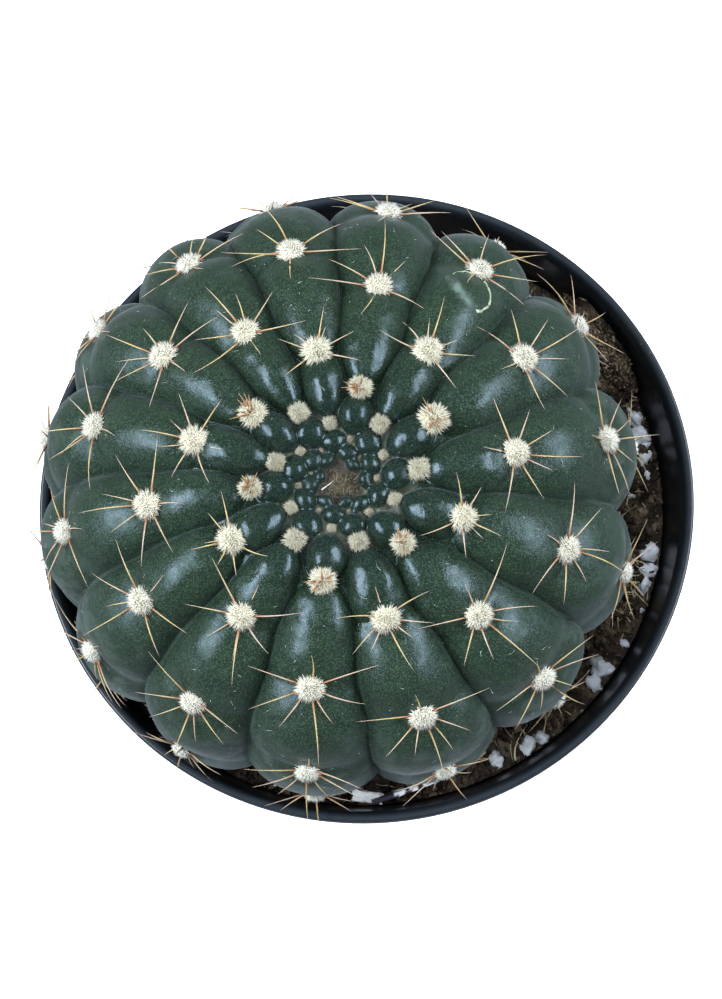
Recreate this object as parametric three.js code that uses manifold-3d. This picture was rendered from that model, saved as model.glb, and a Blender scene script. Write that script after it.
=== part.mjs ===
// A round ribbed cactus in a thin plastic nursery pot, in millimetres, +Z up.
// The origin is the middle of the pot's flat underside.

import * as THREE from 'three';
import { mergeVertices } from 'three/addons/utils/BufferGeometryUtils.js';
import Module from 'manifold-3d';

// ---- Driving dimensions ----

// Pot
const RIM_DIAMETER = 105;
const RIM_SHORT_DIAMETER = 102; // the thin rim is squeezed slightly oval
const RIM_LONG_AXIS = 14; // degrees from +X
const POT_HEIGHT = 90;
const BASE_DIAMETER = 76;
const WALL = 1;
const FLOOR = 1.6;
const LIP_WIDTH = 2;
const LIP_HEIGHT = 3.4;
const LIP_ROUNDING = 0.7;
const BASE_CHAMFER = 1;
const DRAIN_HOLES = 6;
const DRAIN_DIAMETER = 8;
const DRAIN_CIRCLE = 50;
const POT_SIDES = 48;

// Plant: a flattened globe whose crests follow a rounded curve, over a plain buried foot
const RIBS = 15;
const CREST_RADIUS = 47;
const CREST_RISE = 32; // from the widest level up to the crown
const CREST_DROP = 36; // from the widest level down to where the curve would close
const CREST_FULLNESS = 2.3; // 2 is an ellipse, more is boxier
const WIDEST_LEVEL = 102;
const PLANT_X = -4.4;
const PLANT_Y = -1.2;
const CROWN_LEAN = { x: 0.7, y: -2.4, reach: 60 }; // the crown leans, fading out along the crest
const CROWN_DIMPLE = { depth: 5, radius: 9 };
const FURROW_SHARE = 0.24; // furrow depth as a share of the rib's width
const FURROW_CURVE = 2.8;
const NOTCH = { crown: 1.5, reach: 17, grown: 0.35 }; // dip at an areole: near the crown, and later
const NOTCH_FADE = 0.7; // share of the dip lost between a crest and a furrow
const RIB_TWIST = 0.078; // degrees per millimetre of crest
const DIRECTIONS_ARC = 40; // crest length where the directions below hold
const LOWEST_RIB_LEVEL = 80.5;
const FOOT_RADIUS = 33;
const FOOT_TOP = 78.5;
const FOOT_BOTTOM = 66;

// Middle of each rib in degrees from +X, going clockwise seen from above
const RIB_DIRECTIONS = [79, 56, 33, 8, -18, -45, -71, -97, -123, -147, -170, -192, -214, -236, -258];

// Areoles grow in threes, a third of a turn apart, and each three stands two ribs on
const YOUNGEST_WHORL = -5;
const FIRST_KNOB_WHORL = -3;
const FIRST_WOOL_WHORL = -1;
const FIRST_RIB_WHORL = -1; // each rib starts at its first areole from here on, past its knobs
const FIRST_SPINY_WHORL = 2;
const FIRST_SPREADING_WHORL = 4; // younger areoles hold a few short upright spines
const YOUNG_ARC = 10; // crest length from the growing point to whorl 0
const YOUNG_GROWTH = 0.17; // each whorl below 4 is this much nearer the crown, as an exponent
const GROWN_STEP = 3.7; // crest length between whorls from whorl 4 on
const SUNNY_SIDE = { direction: 10, stretch: 0.02 };
const BARE_END = 3.5; // crest length without areoles at a rib's lower end

// Rings of the skin from a crest length on: few points near the crown, more on the broad ribs
const SKIN_RINGS = [
  { from: 3, step: 2.5, perRib: 2 },
  { from: 9, step: 1.9, perRib: 4 },
  { from: 22.5, step: 5.9, perRib: 6 },
];

// Knobs of the crown, from one areole to the next on a rib
const KNOB_WIDTH = 6.8; // what the width grows towards
const KNOB_GROWTH = { start: 2.5, reach: 4.2 }; // crest lengths
const KNOB_LENGTH_SHARE = 0.9; // of the distance between its two areoles
const KNOB_RISE = 0.5; // of its top over the crest curve
const CROWN_SINK = 1.4; // of the skin between the knobs

// Wool and spines
const WOOL_RADIUS = 2.5;
const WOOL_GROWTH = { start: 2.5, reach: 13.5 }; // crest lengths
const WOOL_HEIGHT = 1.1;
const CROWN_WOOL_RADIUS = 2.2;
const PRESSED_WOOL_HEIGHT = 0.35;
const YOUNG_SPINES = 3;
const YOUNG_SPINE_RISE = 62; // degrees off the skin
const RADIAL_SPINES = 5;
const SPINE_LENGTH = 10.5;
const SPINE_RADIUS = 0.34;
const SPINE_RISE = 19; // degrees off the skin
const SPINE_ROOT = 0.5; // from an areole's middle out to a spine's root
const MIDDLE_SPINE = { downhill: 0.9, aside: 0.4 }; // its lean, beside 1 straight outward
const GROWN_SPINE_WHORL = 6; // spines reach their full length here
const YOUNGEST_SPINE_SHARE = 0.35;
const LAST_LONG_WHORL = 11; // spines are shorter on the older areoles below it
const OLD_SPINE_SHARE = 0.7;
const SPINE_CLEARANCE = 0.8;
const SPINE_STEP = 0.5; // between the places along a spine that are tested for room
const FACET_ALLOWANCE = 0.5; // how far the wall's flat facets stand inside its round form

// Soil
const SOIL_LEVEL = 77.5;
const SOIL_SLOPE = 0.03; // rise per millimetre towards +X
const SOIL_MOUND = { direction: 36, radius: 45, height: 6.5, spread: 6.5 };
const SOIL_SIDES = 48;
const SOIL_INSET = 0.42; // from the wall, a little over the gap because both are faceted
const SOIL_BRINK = { width: 0.6, upper: 1.6, lower: 2.2 }; // rounding round the plant's hole
const SOIL_RINGS = [0.02, 0.2, 0.4, 0.6, 0.8]; // shares of the way from the wall to the hole
const PERLITE_GRAINS = 22;
const PERLITE_BAND = { inner: 41, margin: 2 }; // its inner radius, and its distance from the wall
const GRAIN_SIZE = 1.5; // the largest grain's radius
const GRAIN_SINK = 0.3; // share of a grain's size that it is sunk by

// Label: a plain strip pushed into the soil beside the plant
const LABEL_WIDTH = 13;
const LABEL_THICKNESS = 0.8;
const LABEL_LENGTH = 20;
const LABEL_TOP = { x: 7, y: -45.4, z: 84 }; // middle of its upper edge
const LABEL_TURN = 20;
const LABEL_LEAN = 9; // it leans back on the wall

// Space left between pieces that touch
const GAP = 0.3;
const SEED = 15;

const radians = THREE.MathUtils.degToRad;
const wasm = await Module();
wasm.setup();

// ---- Solids ----

function seededRandom(seed) {
  let state = seed;
  return () => {
    state = (state + 0x6d2b79f5) | 0;
    let mixed = Math.imul(state ^ (state >>> 15), 1 | state);
    mixed = (mixed + Math.imul(mixed ^ (mixed >>> 7), 61 | mixed)) ^ mixed;
    return ((mixed ^ (mixed >>> 14)) >>> 0) / 4294967296;
  };
}

function toSolid(geometry) {
  const plain = geometry.clone();
  plain.deleteAttribute('normal');
  plain.deleteAttribute('uv');
  const merged = mergeVertices(plain, 1e-4);
  const index = Array.from(merged.index.array);
  const triVerts = [];
  for (let i = 0; i < index.length; i += 3) {
    const [a, b, c] = index.slice(i, i + 3);
    if (a !== b && b !== c && c !== a) triVerts.push(a, b, c);
  }
  const mesh = new wasm.Mesh({
    numProp: 3,
    vertProperties: new Float32Array(merged.attributes.position.array),
    triVerts: new Uint32Array(triVerts),
  });
  return new wasm.Manifold(mesh);
}

function toGeometry(solid) {
  const mesh = solid.getMesh();
  const geometry = new THREE.BufferGeometry();
  geometry.setAttribute('position', new THREE.BufferAttribute(mesh.vertProperties, 3));
  geometry.setIndex(new THREE.BufferAttribute(mesh.triVerts, 1));
  geometry.computeVertexNormals();
  return geometry;
}

// Joins solids in pairs, so that no step works on one ever-growing body
function joinAll(solids) {
  let layer = solids;
  while (layer.length > 1) {
    const next = [];
    for (let i = 0; i < layer.length; i += 2) {
      next.push(i + 1 < layer.length ? layer[i].add(layer[i + 1]) : layer[i]);
    }
    layer = next;
  }
  return layer[0];
}

function namedMesh(name, geometry, color, roughness) {
  const material = new THREE.MeshStandardMaterial({ color, roughness, metalness: 0 });
  const mesh = new THREE.Mesh(geometry, material);
  mesh.name = name;
  return mesh;
}

// A closed skin over rings that run from one end point to the other. Each ring is a list of
// points, counter-clockwise seen from the last end, and rings may differ in their count.
function skinOverRings(start, rings, end) {
  const positions = [];
  const index = [];
  const addPoint = (point) => positions.push(point.x, point.y, point.z) / 3 - 1;
  const startIndex = addPoint(start);
  const ringIndices = rings.map((ring) => ring.map(addPoint));
  const endIndex = addPoint(end);
  const first = ringIndices[0];
  first.forEach((a, i) => index.push(startIndex, first[(i + 1) % first.length], a));
  for (let r = 0; r + 1 < ringIndices.length; r += 1) {
    bridge(ringIndices[r], ringIndices[r + 1], index);
  }
  const last = ringIndices.at(-1);
  last.forEach((a, i) => index.push(endIndex, a, last[(i + 1) % last.length]));
  const geometry = new THREE.BufferGeometry();
  geometry.setAttribute('position', new THREE.Float32BufferAttribute(positions, 3));
  geometry.setIndex(index);
  return geometry;
}

function greatestDivisor(a, b) {
  return b === 0 ? a : greatestDivisor(b, a % b);
}

// Triangles between two rings, stretch by stretch, where a stretch is what divides both counts
function bridge(lower, upper, index) {
  const count = greatestDivisor(lower.length, upper.length);
  const lowerSteps = lower.length / count;
  const upperSteps = upper.length / count;
  for (let i = 0; i < count; i += 1) {
    const lowerAt = (step) => lower[(i * lowerSteps + step) % lower.length];
    const upperAt = (step) => upper[(i * upperSteps + step) % upper.length];
    let low = 0;
    let high = 0;
    while (low < lowerSteps || high < upperSteps) {
      if ((low + 0.5) / lowerSteps <= (high + 0.5) / upperSteps) {
        index.push(lowerAt(low), lowerAt(low + 1), upperAt(high));
        low += 1;
      } else {
        index.push(upperAt(high + 1), upperAt(high), lowerAt(low));
        high += 1;
      }
    }
  }
}

// ---- Pot ----

// The share of its round width that the short axis keeps at a height
function ovalShare(z) {
  return 1 - (1 - RIM_SHORT_DIAMETER / RIM_DIAMETER) * (z / POT_HEIGHT);
}

function squeeze(point) {
  const axis = new THREE.Vector3(0, 0, 1);
  const turned = point.clone().applyAxisAngle(axis, -radians(RIM_LONG_AXIS));
  turned.y *= ovalShare(point.z);
  return turned.applyAxisAngle(axis, radians(RIM_LONG_AXIS));
}

// Distance from the pot's axis that a point would have if the pot were round
function roundDistance(point) {
  const axis = new THREE.Vector3(0, 0, 1);
  const turned = point.clone().applyAxisAngle(axis, -radians(RIM_LONG_AXIS));
  return Math.hypot(turned.x, turned.y / ovalShare(point.z));
}

function outerRadius(z) {
  const top = RIM_DIAMETER / 2 - LIP_WIDTH / 2;
  return THREE.MathUtils.lerp(BASE_DIAMETER / 2, top, z / POT_HEIGHT);
}

function innerRadius(z) {
  return outerRadius(z) - WALL;
}

function buildPot() {
  const lipBottom = POT_HEIGHT - LIP_HEIGHT;
  const lipRadius = RIM_DIAMETER / 2;
  const profile = [
    [0, 0],
    [BASE_DIAMETER / 2 - BASE_CHAMFER, 0],
    [outerRadius(BASE_CHAMFER), BASE_CHAMFER],
    [outerRadius(POT_HEIGHT / 2), POT_HEIGHT / 2],
    [outerRadius(lipBottom), lipBottom],
    [lipRadius, lipBottom + LIP_ROUNDING / 2],
    [lipRadius, POT_HEIGHT - LIP_ROUNDING],
    [lipRadius - LIP_ROUNDING, POT_HEIGHT],
    [lipRadius - LIP_WIDTH + LIP_ROUNDING, POT_HEIGHT],
    [innerRadius(POT_HEIGHT), POT_HEIGHT - LIP_ROUNDING],
    [innerRadius(POT_HEIGHT / 2), POT_HEIGHT / 2],
    [innerRadius(FLOOR), FLOOR],
    [0, FLOOR],
  ].map(([radius, z]) => new THREE.Vector2(radius, z));
  const geometry = new THREE.LatheGeometry(profile, POT_SIDES).rotateX(Math.PI / 2);
  const positions = geometry.attributes.position;
  for (let i = 0; i < positions.count; i += 1) {
    const squeezed = squeeze(new THREE.Vector3().fromBufferAttribute(positions, i));
    positions.setXYZ(i, squeezed.x, squeezed.y, squeezed.z);
  }
  let pot = toSolid(geometry);
  for (let i = 0; i < DRAIN_HOLES; i += 1) {
    const angle = (i / DRAIN_HOLES) * 2 * Math.PI;
    const drill = new THREE.CylinderGeometry(DRAIN_DIAMETER / 2, DRAIN_DIAMETER / 2, 4 * FLOOR, 12);
    drill.rotateX(Math.PI / 2);
    drill.translate((DRAIN_CIRCLE / 2) * Math.cos(angle), (DRAIN_CIRCLE / 2) * Math.sin(angle), 0);
    pot = pot.subtract(toSolid(drill));
  }
  return namedMesh('pot', toGeometry(pot), '#17191d', 0.4);
}

// ---- Plant body ----

// The crest from the crown down, as points with the crest length at each
const CREST = traceCrest();
const RIB_END = CREST.findLast((point) => point.z >= LOWEST_RIB_LEVEL).arc;

function traceCrest() {
  const steps = 600;
  const points = [];
  let arc = 0;
  for (let i = 0; i <= steps; i += 1) {
    const angle = (i / steps) * Math.PI;
    const radius = CREST_RADIUS * Math.sin(angle) ** (2 / CREST_FULLNESS);
    const share = Math.sign(Math.cos(angle)) * Math.abs(Math.cos(angle)) ** (2 / CREST_FULLNESS);
    const dimple = share > 0 ? CROWN_DIMPLE.depth * Math.exp(-((radius / CROWN_DIMPLE.radius) ** 2)) : 0;
    const z = WIDEST_LEVEL + share * (share > 0 ? CREST_RISE : CREST_DROP) - dimple;
    const previous = points.at(-1);
    if (previous) arc += Math.hypot(radius - previous.radius, z - previous.z);
    points.push({ arc, radius, z });
  }
  return points;
}

function crestAt(arc) {
  const after = Math.max(1, CREST.findIndex((point) => point.arc >= arc));
  const a = CREST[after - 1];
  const b = CREST[after];
  const share = (arc - a.arc) / (b.arc - a.arc);
  const length = Math.hypot(b.radius - a.radius, b.z - a.z);
  return {
    radius: THREE.MathUtils.lerp(a.radius, b.radius, share),
    z: THREE.MathUtils.lerp(a.z, b.z, share),
    outward: (a.z - b.z) / length,
    upward: (b.radius - a.radius) / length,
  };
}

// Direction of a rib, counted on past whole turns
function ribDirection(rib) {
  const turns = Math.floor(rib / RIBS);
  return RIB_DIRECTIONS[rib - turns * RIBS] - 360 * turns;
}

// Direction of a place round the plant, counted in ribs: a whole number is a crest
function directionAt(place, arc) {
  const rib = Math.floor(place);
  const direction = THREE.MathUtils.lerp(ribDirection(rib), ribDirection(rib + 1), place - rib);
  return direction + RIB_TWIST * (arc - DIRECTIONS_ARC);
}

function areoleArc(whorl, rib) {
  const young = YOUNG_ARC * Math.exp(YOUNG_GROWTH * Math.min(whorl, 4));
  const arc = young + GROWN_STEP * Math.max(0, whorl - 4);
  const side = Math.cos(radians(RIB_DIRECTIONS[rib] - SUNNY_SIDE.direction));
  return arc * (1 + SUNNY_SIDE.stretch * side);
}

// The whorls that have an areole on a rib, one in five, with one more past the rib's end
function whorlsOnRib(rib) {
  const whorls = [];
  let whorl = YOUNGEST_WHORL;
  while (whorls.length === 0 || areoleArc(whorls.at(-1), rib) < RIB_END) {
    if (THREE.MathUtils.euclideanModulo(1 + 2 * whorl - rib, 5) === 0) whorls.push(whorl);
    whorl += 1;
  }
  return whorls;
}

// How far the skin dips at and near an areole, along a crest, and between the crown's knobs
function notchDepth(arc, rib) {
  const ribWhorls = whorlsOnRib(rib).filter((whorl) => whorl >= FIRST_RIB_WHORL);
  const arcs = ribWhorls.map((whorl) => areoleArc(whorl, rib));
  const after = arcs.findIndex((value) => value > arc);
  if (after === 0) return CROWN_SINK;
  const middle = (arcs[after] + arcs[after - 1]) / 2;
  const half = (arcs[after] - arcs[after - 1]) / 2;
  const deepest = NOTCH.grown + NOTCH.crown * Math.exp(-((arc / NOTCH.reach) ** 2));
  return deepest * (1 - Math.sqrt(Math.max(0, 1 - ((arc - middle) / half) ** 2)));
}

function leanAt(arc) {
  const share = 1 - THREE.MathUtils.smoothstep(arc, 0, CROWN_LEAN.reach);
  return { x: PLANT_X + CROWN_LEAN.x * share, y: PLANT_Y + CROWN_LEAN.y * share };
}

// A point of the crest curve, with the outward, downhill and sideways directions there
function crestFrame(arc, place) {
  const crest = crestAt(arc);
  const angle = radians(directionAt(place, arc));
  const centre = leanAt(arc);
  const away = new THREE.Vector3(Math.cos(angle), Math.sin(angle), 0);
  const up = new THREE.Vector3(0, 0, 1);
  const point = new THREE.Vector3(centre.x, centre.y, crest.z).addScaledVector(away, crest.radius);
  const outward = away.clone().multiplyScalar(crest.outward).addScaledVector(up, crest.upward);
  const downhill = away.clone().multiplyScalar(crest.upward).addScaledVector(up, -crest.outward);
  const sideways = new THREE.Vector3().crossVectors(outward, downhill);
  return { arc, point, outward, downhill, sideways };
}

// A point of the skin, sunk below the crest curve by the furrows and notches
function skinPoint(arc, place) {
  const { point, outward } = crestFrame(arc, place);
  const rib = Math.round(place);
  const across = Math.abs(2 * (place - rib));
  const ribWidth = (2 * Math.PI * crestAt(arc).radius) / RIBS;
  const furrow = FURROW_SHARE * ribWidth * across ** FURROW_CURVE;
  const notch = notchDepth(arc, THREE.MathUtils.euclideanModulo(rib, RIBS)) * (1 - NOTCH_FADE * across);
  return point.addScaledVector(outward, -furrow - notch);
}

// Crest length and points per rib of each ring of the skin
function ribRings() {
  const rings = [];
  SKIN_RINGS.forEach(({ from, step, perRib }, i) => {
    const end = SKIN_RINGS[i + 1]?.from ?? RIB_END;
    for (let arc = from; arc < end - step / 2; arc += step) rings.push({ arc, perRib });
  });
  rings.push({ arc: RIB_END, perRib: SKIN_RINGS.at(-1).perRib });
  return rings;
}

function ringOfPlaces(count, pointAt) {
  return Array.from({ length: count }, (_, i) => pointAt((-i * RIBS) / count));
}

function buildPlantBody() {
  const rings = ribRings().map(({ arc, perRib }) =>
    ringOfPlaces(RIBS * perRib, (place) => skinPoint(arc, place)),
  );
  const footRing = (z) =>
    ringOfPlaces(2 * RIBS, (place) => {
      const angle = radians(directionAt(place, RIB_END));
      return new THREE.Vector3(
        PLANT_X + FOOT_RADIUS * Math.cos(angle),
        PLANT_Y + FOOT_RADIUS * Math.sin(angle),
        z,
      );
    });
  rings.push(footRing(FOOT_TOP), footRing(FOOT_BOTTOM));
  const centre = leanAt(0);
  const crown = new THREE.Vector3(centre.x, centre.y, crestAt(0).z - CROWN_SINK);
  const bottom = new THREE.Vector3(PLANT_X, PLANT_Y, FOOT_BOTTOM);
  return toSolid(skinOverRings(bottom, rings.reverse(), crown));
}

// ---- Wool and spines ----

// A solid's unit shape, stretched along a frame's directions and set at a height over its point
function shapeInFrame(geometry, frame, { along, across, thick, height = 0 }) {
  geometry.scale(along, across, thick);
  geometry.applyMatrix4(new THREE.Matrix4().makeBasis(frame.downhill, frame.sideways, frame.outward));
  const place = frame.point.clone().addScaledVector(frame.outward, height);
  return toSolid(geometry.translate(place.x, place.y, place.z));
}

function buildKnob(whorl, rib) {
  const innerArc = areoleArc(whorl - 5, rib);
  const outerArc = areoleArc(whorl, rib);
  const arc = (innerArc + outerArc) / 2;
  const width = KNOB_WIDTH * (1 - Math.exp((KNOB_GROWTH.start - arc) / KNOB_GROWTH.reach));
  const sphere = new THREE.SphereGeometry(1, 6, 4).rotateX(Math.PI / 2);
  return shapeInFrame(sphere, crestFrame(arc, rib), {
    along: (KNOB_LENGTH_SHARE * (outerArc - innerArc)) / 2,
    across: width / 2,
    thick: width / 2,
    height: KNOB_RISE - width / 2,
  });
}

// A low tuft, pressed flatter where the pot's wall leaves it little room
function buildWool(frame) {
  const grown = (frame.arc - WOOL_GROWTH.start) / WOOL_GROWTH.reach;
  const size = WOOL_RADIUS * THREE.MathUtils.clamp(grown, 0.2, 1);
  const top = frame.point.clone().addScaledVector(frame.outward, WOOL_HEIGHT);
  const thick = isBlocked(top, 2 * GAP) ? PRESSED_WOOL_HEIGHT : WOOL_HEIGHT;
  return shapeInFrame(new THREE.IcosahedronGeometry(1, 0), frame, { along: size, across: size, thick });
}

// Whether a point lies in, or nearer than a clearance to, the pot's wall, the soil or the label
function isBlocked(point, clearance) {
  if (point.z > POT_HEIGHT + clearance) return false;
  const distance = roundDistance(point);
  const overWall = distance > innerRadius(point.z) - FACET_ALLOWANCE - clearance;
  const inWall = overWall && distance < RIM_DIAMETER / 2 + clearance;
  const inSoil = point.z < soilHeight(point.x, point.y) + GRAIN_SIZE + clearance;
  return inWall || inSoil || nearLabel(point, clearance);
}

function spineIsClear(root, direction, length) {
  for (let reach = 3 * SPINE_STEP; reach <= length + SPINE_STEP; reach += SPINE_STEP) {
    if (isBlocked(root.clone().addScaledVector(direction, reach), SPINE_CLEARANCE)) return false;
  }
  return true;
}

// Turns a spine up, a little at a time, until it stands clear of the pot, soil and label
function clearDirection(root, wanted, length) {
  const up = new THREE.Vector3(0, 0, 1);
  for (let lift = 0; lift <= 1.6; lift += 0.1) {
    const direction = wanted.clone().addScaledVector(up, lift).normalize();
    if (spineIsClear(root, direction, length)) return direction;
  }
  return null;
}

function buildSpine(root, direction, length) {
  const spine = new THREE.ConeGeometry(SPINE_RADIUS, length, 3, 1);
  spine.translate(0, length / 2, 0);
  spine.applyQuaternion(new THREE.Quaternion().setFromUnitVectors(new THREE.Vector3(0, 1, 0), direction));
  spine.translate(root.x, root.y, root.z);
  return toSolid(spine);
}

// Directions and lengths of an areole's spines: a spread ring with one middle spine, or a few
// short upright ones where the areole is young
function wantedSpines({ downhill, sideways, outward }, whorl, random) {
  const young = whorl < FIRST_SPREADING_WHORL;
  const count = young ? YOUNG_SPINES : RADIAL_SPINES;
  const longest = whorl > LAST_LONG_WHORL ? OLD_SPINE_SHARE : 1;
  const growth = THREE.MathUtils.clamp(whorl / GROWN_SPINE_WHORL, YOUNGEST_SPINE_SHARE, longest);
  const phase = random() * 2 * Math.PI;
  const wanted = [];
  for (let i = 0; i < count; i += 1) {
    const around = phase + ((i + 0.4 * (random() - 0.5)) / count) * 2 * Math.PI;
    const rise = radians(young ? YOUNG_SPINE_RISE : SPINE_RISE + 12 * (random() - 0.5));
    const direction = new THREE.Vector3()
      .addScaledVector(downhill, Math.cos(rise) * Math.cos(around))
      .addScaledVector(sideways, Math.cos(rise) * Math.sin(around))
      .addScaledVector(outward, Math.sin(rise));
    wanted.push({ direction, length: growth * SPINE_LENGTH * (0.8 + 0.4 * random()) });
  }
  if (!young) {
    const aside = MIDDLE_SPINE.aside * (2 * random() - 1);
    const direction = outward.clone().addScaledVector(sideways, aside);
    direction.addScaledVector(downhill, MIDDLE_SPINE.downhill).normalize();
    wanted.push({ direction, length: growth * SPINE_LENGTH });
  }
  return wanted;
}

function buildSpines(frame, whorl, random) {
  const spines = [];
  for (const { direction, length } of wantedSpines(frame, whorl, random)) {
    const root = frame.point.clone().addScaledVector(direction, SPINE_ROOT);
    const clear = clearDirection(root, direction, length);
    if (clear && clear.dot(frame.outward) > 0.1) spines.push(buildSpine(root, clear, length));
  }
  return spines;
}

function buildCactus() {
  const random = seededRandom(SEED);
  const pieces = [buildPlantBody()];
  for (let rib = 0; rib < RIBS; rib += 1) {
    for (const whorl of whorlsOnRib(rib)) {
      const isKnob = whorl >= FIRST_KNOB_WHORL && whorl < FIRST_RIB_WHORL + 5;
      if (isKnob) pieces.push(buildKnob(whorl, rib));
      const arc = areoleArc(whorl, rib);
      const frame = { ...crestFrame(arc, rib), point: skinPoint(arc, rib) };
      const isOnRib = arc < RIB_END - BARE_END;
      if (isOnRib && whorl >= FIRST_WOOL_WHORL) pieces.push(buildWool(frame));
      if (isOnRib && whorl >= FIRST_SPINY_WHORL) pieces.push(...buildSpines(frame, whorl, random));
    }
  }
  const centre = leanAt(0);
  const crownWool = new THREE.IcosahedronGeometry(CROWN_WOOL_RADIUS, 0).scale(1, 1, 0.5);
  crownWool.translate(centre.x, centre.y, crestAt(0).z - CROWN_SINK / 2);
  pieces.push(toSolid(crownWool));
  return namedMesh('cactus', toGeometry(joinAll(pieces)), '#2f4d3a', 0.45);
}

// ---- Soil and label ----

function soilHeight(x, y) {
  const mound = SOIL_MOUND;
  const angle = radians(mound.direction);
  const away = Math.hypot(x - mound.radius * Math.cos(angle), y - mound.radius * Math.sin(angle));
  const rough = 0.45 * Math.sin(0.9 * x + 0.5 * y) + 0.35 * Math.sin(1.1 * y - 0.7 * x + 2);
  const slope = SOIL_SLOPE * x;
  return SOIL_LEVEL + slope + rough + mound.height * Math.exp(-((away / mound.spread) ** 2));
}

function buildSoilBody() {
  const bottomLevel = FLOOR + GAP;
  const holeRadius = (FOOT_RADIUS + GAP) / Math.cos(Math.PI / SOIL_SIDES);
  const holeBottom = FOOT_BOTTOM - GAP;
  const ringOf = (pointAt) =>
    Array.from({ length: SOIL_SIDES }, (_, i) => pointAt((i / SOIL_SIDES) * 2 * Math.PI));
  const wallRing = (z) =>
    ringOf((angle) => {
      const radius = innerRadius(z) - SOIL_INSET;
      return squeeze(new THREE.Vector3(radius * Math.cos(angle), radius * Math.sin(angle), z));
    });
  const holeRing = (radius, level) =>
    ringOf((angle) => {
      const x = PLANT_X + radius * Math.cos(angle);
      const y = PLANT_Y + radius * Math.sin(angle);
      return new THREE.Vector3(x, y, level);
    });
  const edge = wallRing(SOIL_LEVEL);
  const brink = holeRing(holeRadius + SOIL_BRINK.width, SOIL_LEVEL - SOIL_BRINK.upper);
  const topRing = (share) =>
    edge.map((point, i) => {
      const mixed = point.clone().lerp(brink[i], share);
      mixed.z = soilHeight(mixed.x, mixed.y);
      return mixed;
    });
  const rings = [
    wallRing(bottomLevel),
    wallRing(POT_HEIGHT / 2),
    wallRing(SOIL_LEVEL - 2 * SOIL_BRINK.lower),
    ...SOIL_RINGS.map(topRing),
    brink,
    holeRing(holeRadius, SOIL_LEVEL - SOIL_BRINK.lower),
    holeRing(holeRadius, holeBottom),
  ];
  const bottom = new THREE.Vector3(0, 0, bottomLevel);
  const holeFloor = new THREE.Vector3(PLANT_X, PLANT_Y, holeBottom);
  return toSolid(skinOverRings(bottom, rings, holeFloor));
}

function buildPerlite(random) {
  const grains = [];
  while (grains.length < PERLITE_GRAINS) {
    const angle = random() * 2 * Math.PI;
    const size = GRAIN_SIZE * (0.6 + 0.4 * random());
    const outer = innerRadius(SOIL_LEVEL) - PERLITE_BAND.margin - size;
    const distance = THREE.MathUtils.lerp(PERLITE_BAND.inner, outer, random());
    const x = distance * Math.cos(angle);
    const y = distance * Math.sin(angle) * ovalShare(SOIL_LEVEL);
    const place = new THREE.Vector3(x, y, soilHeight(x, y));
    const turn = new THREE.Euler(random() * 6, random() * 6, random() * 6);
    if (!nearLabel(place, 2 * GRAIN_SIZE)) {
      const grain = new THREE.IcosahedronGeometry(size, 0).scale(1, 0.8, 0.7);
      grain.applyMatrix4(new THREE.Matrix4().makeRotationFromEuler(turn));
      grain.translate(place.x, place.y, place.z - GRAIN_SINK * size);
      grains.push(toSolid(grain));
    }
  }
  return grains;
}

// From the label's own frame, with its upper edge's middle at the origin, to its place
function labelMatrix() {
  return new THREE.Matrix4()
    .makeRotationZ(radians(LABEL_TURN))
    .multiply(new THREE.Matrix4().makeRotationX(radians(LABEL_LEAN)))
    .setPosition(LABEL_TOP.x, LABEL_TOP.y, LABEL_TOP.z);
}

function nearLabel(point, reach) {
  const local = point.clone().applyMatrix4(labelMatrix().invert());
  return (
    Math.abs(local.x) < LABEL_WIDTH / 2 + reach &&
    Math.abs(local.y) < LABEL_THICKNESS / 2 + reach &&
    Math.abs(local.z + LABEL_LENGTH / 2) < LABEL_LENGTH / 2 + reach
  );
}

function labelBox(extra) {
  const box = new THREE.BoxGeometry(LABEL_WIDTH + extra, LABEL_THICKNESS + extra, LABEL_LENGTH + extra);
  box.translate(0, 0, -LABEL_LENGTH / 2);
  return box.applyMatrix4(labelMatrix());
}

function buildSoil() {
  const random = seededRandom(SEED + 1);
  const mix = joinAll([buildSoilBody(), ...buildPerlite(random)]);
  const slotted = mix.subtract(toSolid(labelBox(2 * GAP)));
  return namedMesh('soil', toGeometry(slotted), '#2b201a', 0.95);
}

function buildLabel() {
  return namedMesh('label', toGeometry(toSolid(labelBox(0))), '#26242a', 0.25);
}

// ---- Whole object ----

const group = new THREE.Group();
group.add(buildPot());
group.add(buildSoil());
group.add(buildCactus());
group.add(buildLabel());

export default group;
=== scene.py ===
"""A round ribbed cactus in a thin black nursery pot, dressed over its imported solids."""

import math
import random

import bmesh
import bpy
import numpy as np
from mathutils import Matrix, Vector, noise


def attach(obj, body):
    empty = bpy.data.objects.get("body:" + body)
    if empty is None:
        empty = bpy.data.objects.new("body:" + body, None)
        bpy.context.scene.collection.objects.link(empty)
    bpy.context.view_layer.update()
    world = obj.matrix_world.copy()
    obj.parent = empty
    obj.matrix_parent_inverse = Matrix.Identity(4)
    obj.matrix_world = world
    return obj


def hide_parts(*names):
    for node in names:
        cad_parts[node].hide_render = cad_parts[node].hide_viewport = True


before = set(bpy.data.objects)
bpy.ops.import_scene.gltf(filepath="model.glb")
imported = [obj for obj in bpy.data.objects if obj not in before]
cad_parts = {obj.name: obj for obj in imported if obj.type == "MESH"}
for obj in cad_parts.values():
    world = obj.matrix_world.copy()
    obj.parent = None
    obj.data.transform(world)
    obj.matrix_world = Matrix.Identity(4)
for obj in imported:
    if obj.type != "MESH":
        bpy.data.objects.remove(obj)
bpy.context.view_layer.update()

bl_info = {
    "name": "Potted round cactus",
    "version": (1, 0, 0),
    "blender": (4, 5, 0),
    "location": "3D View > Sidebar > Cactus",
    "description": "Models a round ribbed cactus in a nursery pot, piece by piece",
    "category": "Add Mesh",
}

MM = 0.001

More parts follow.
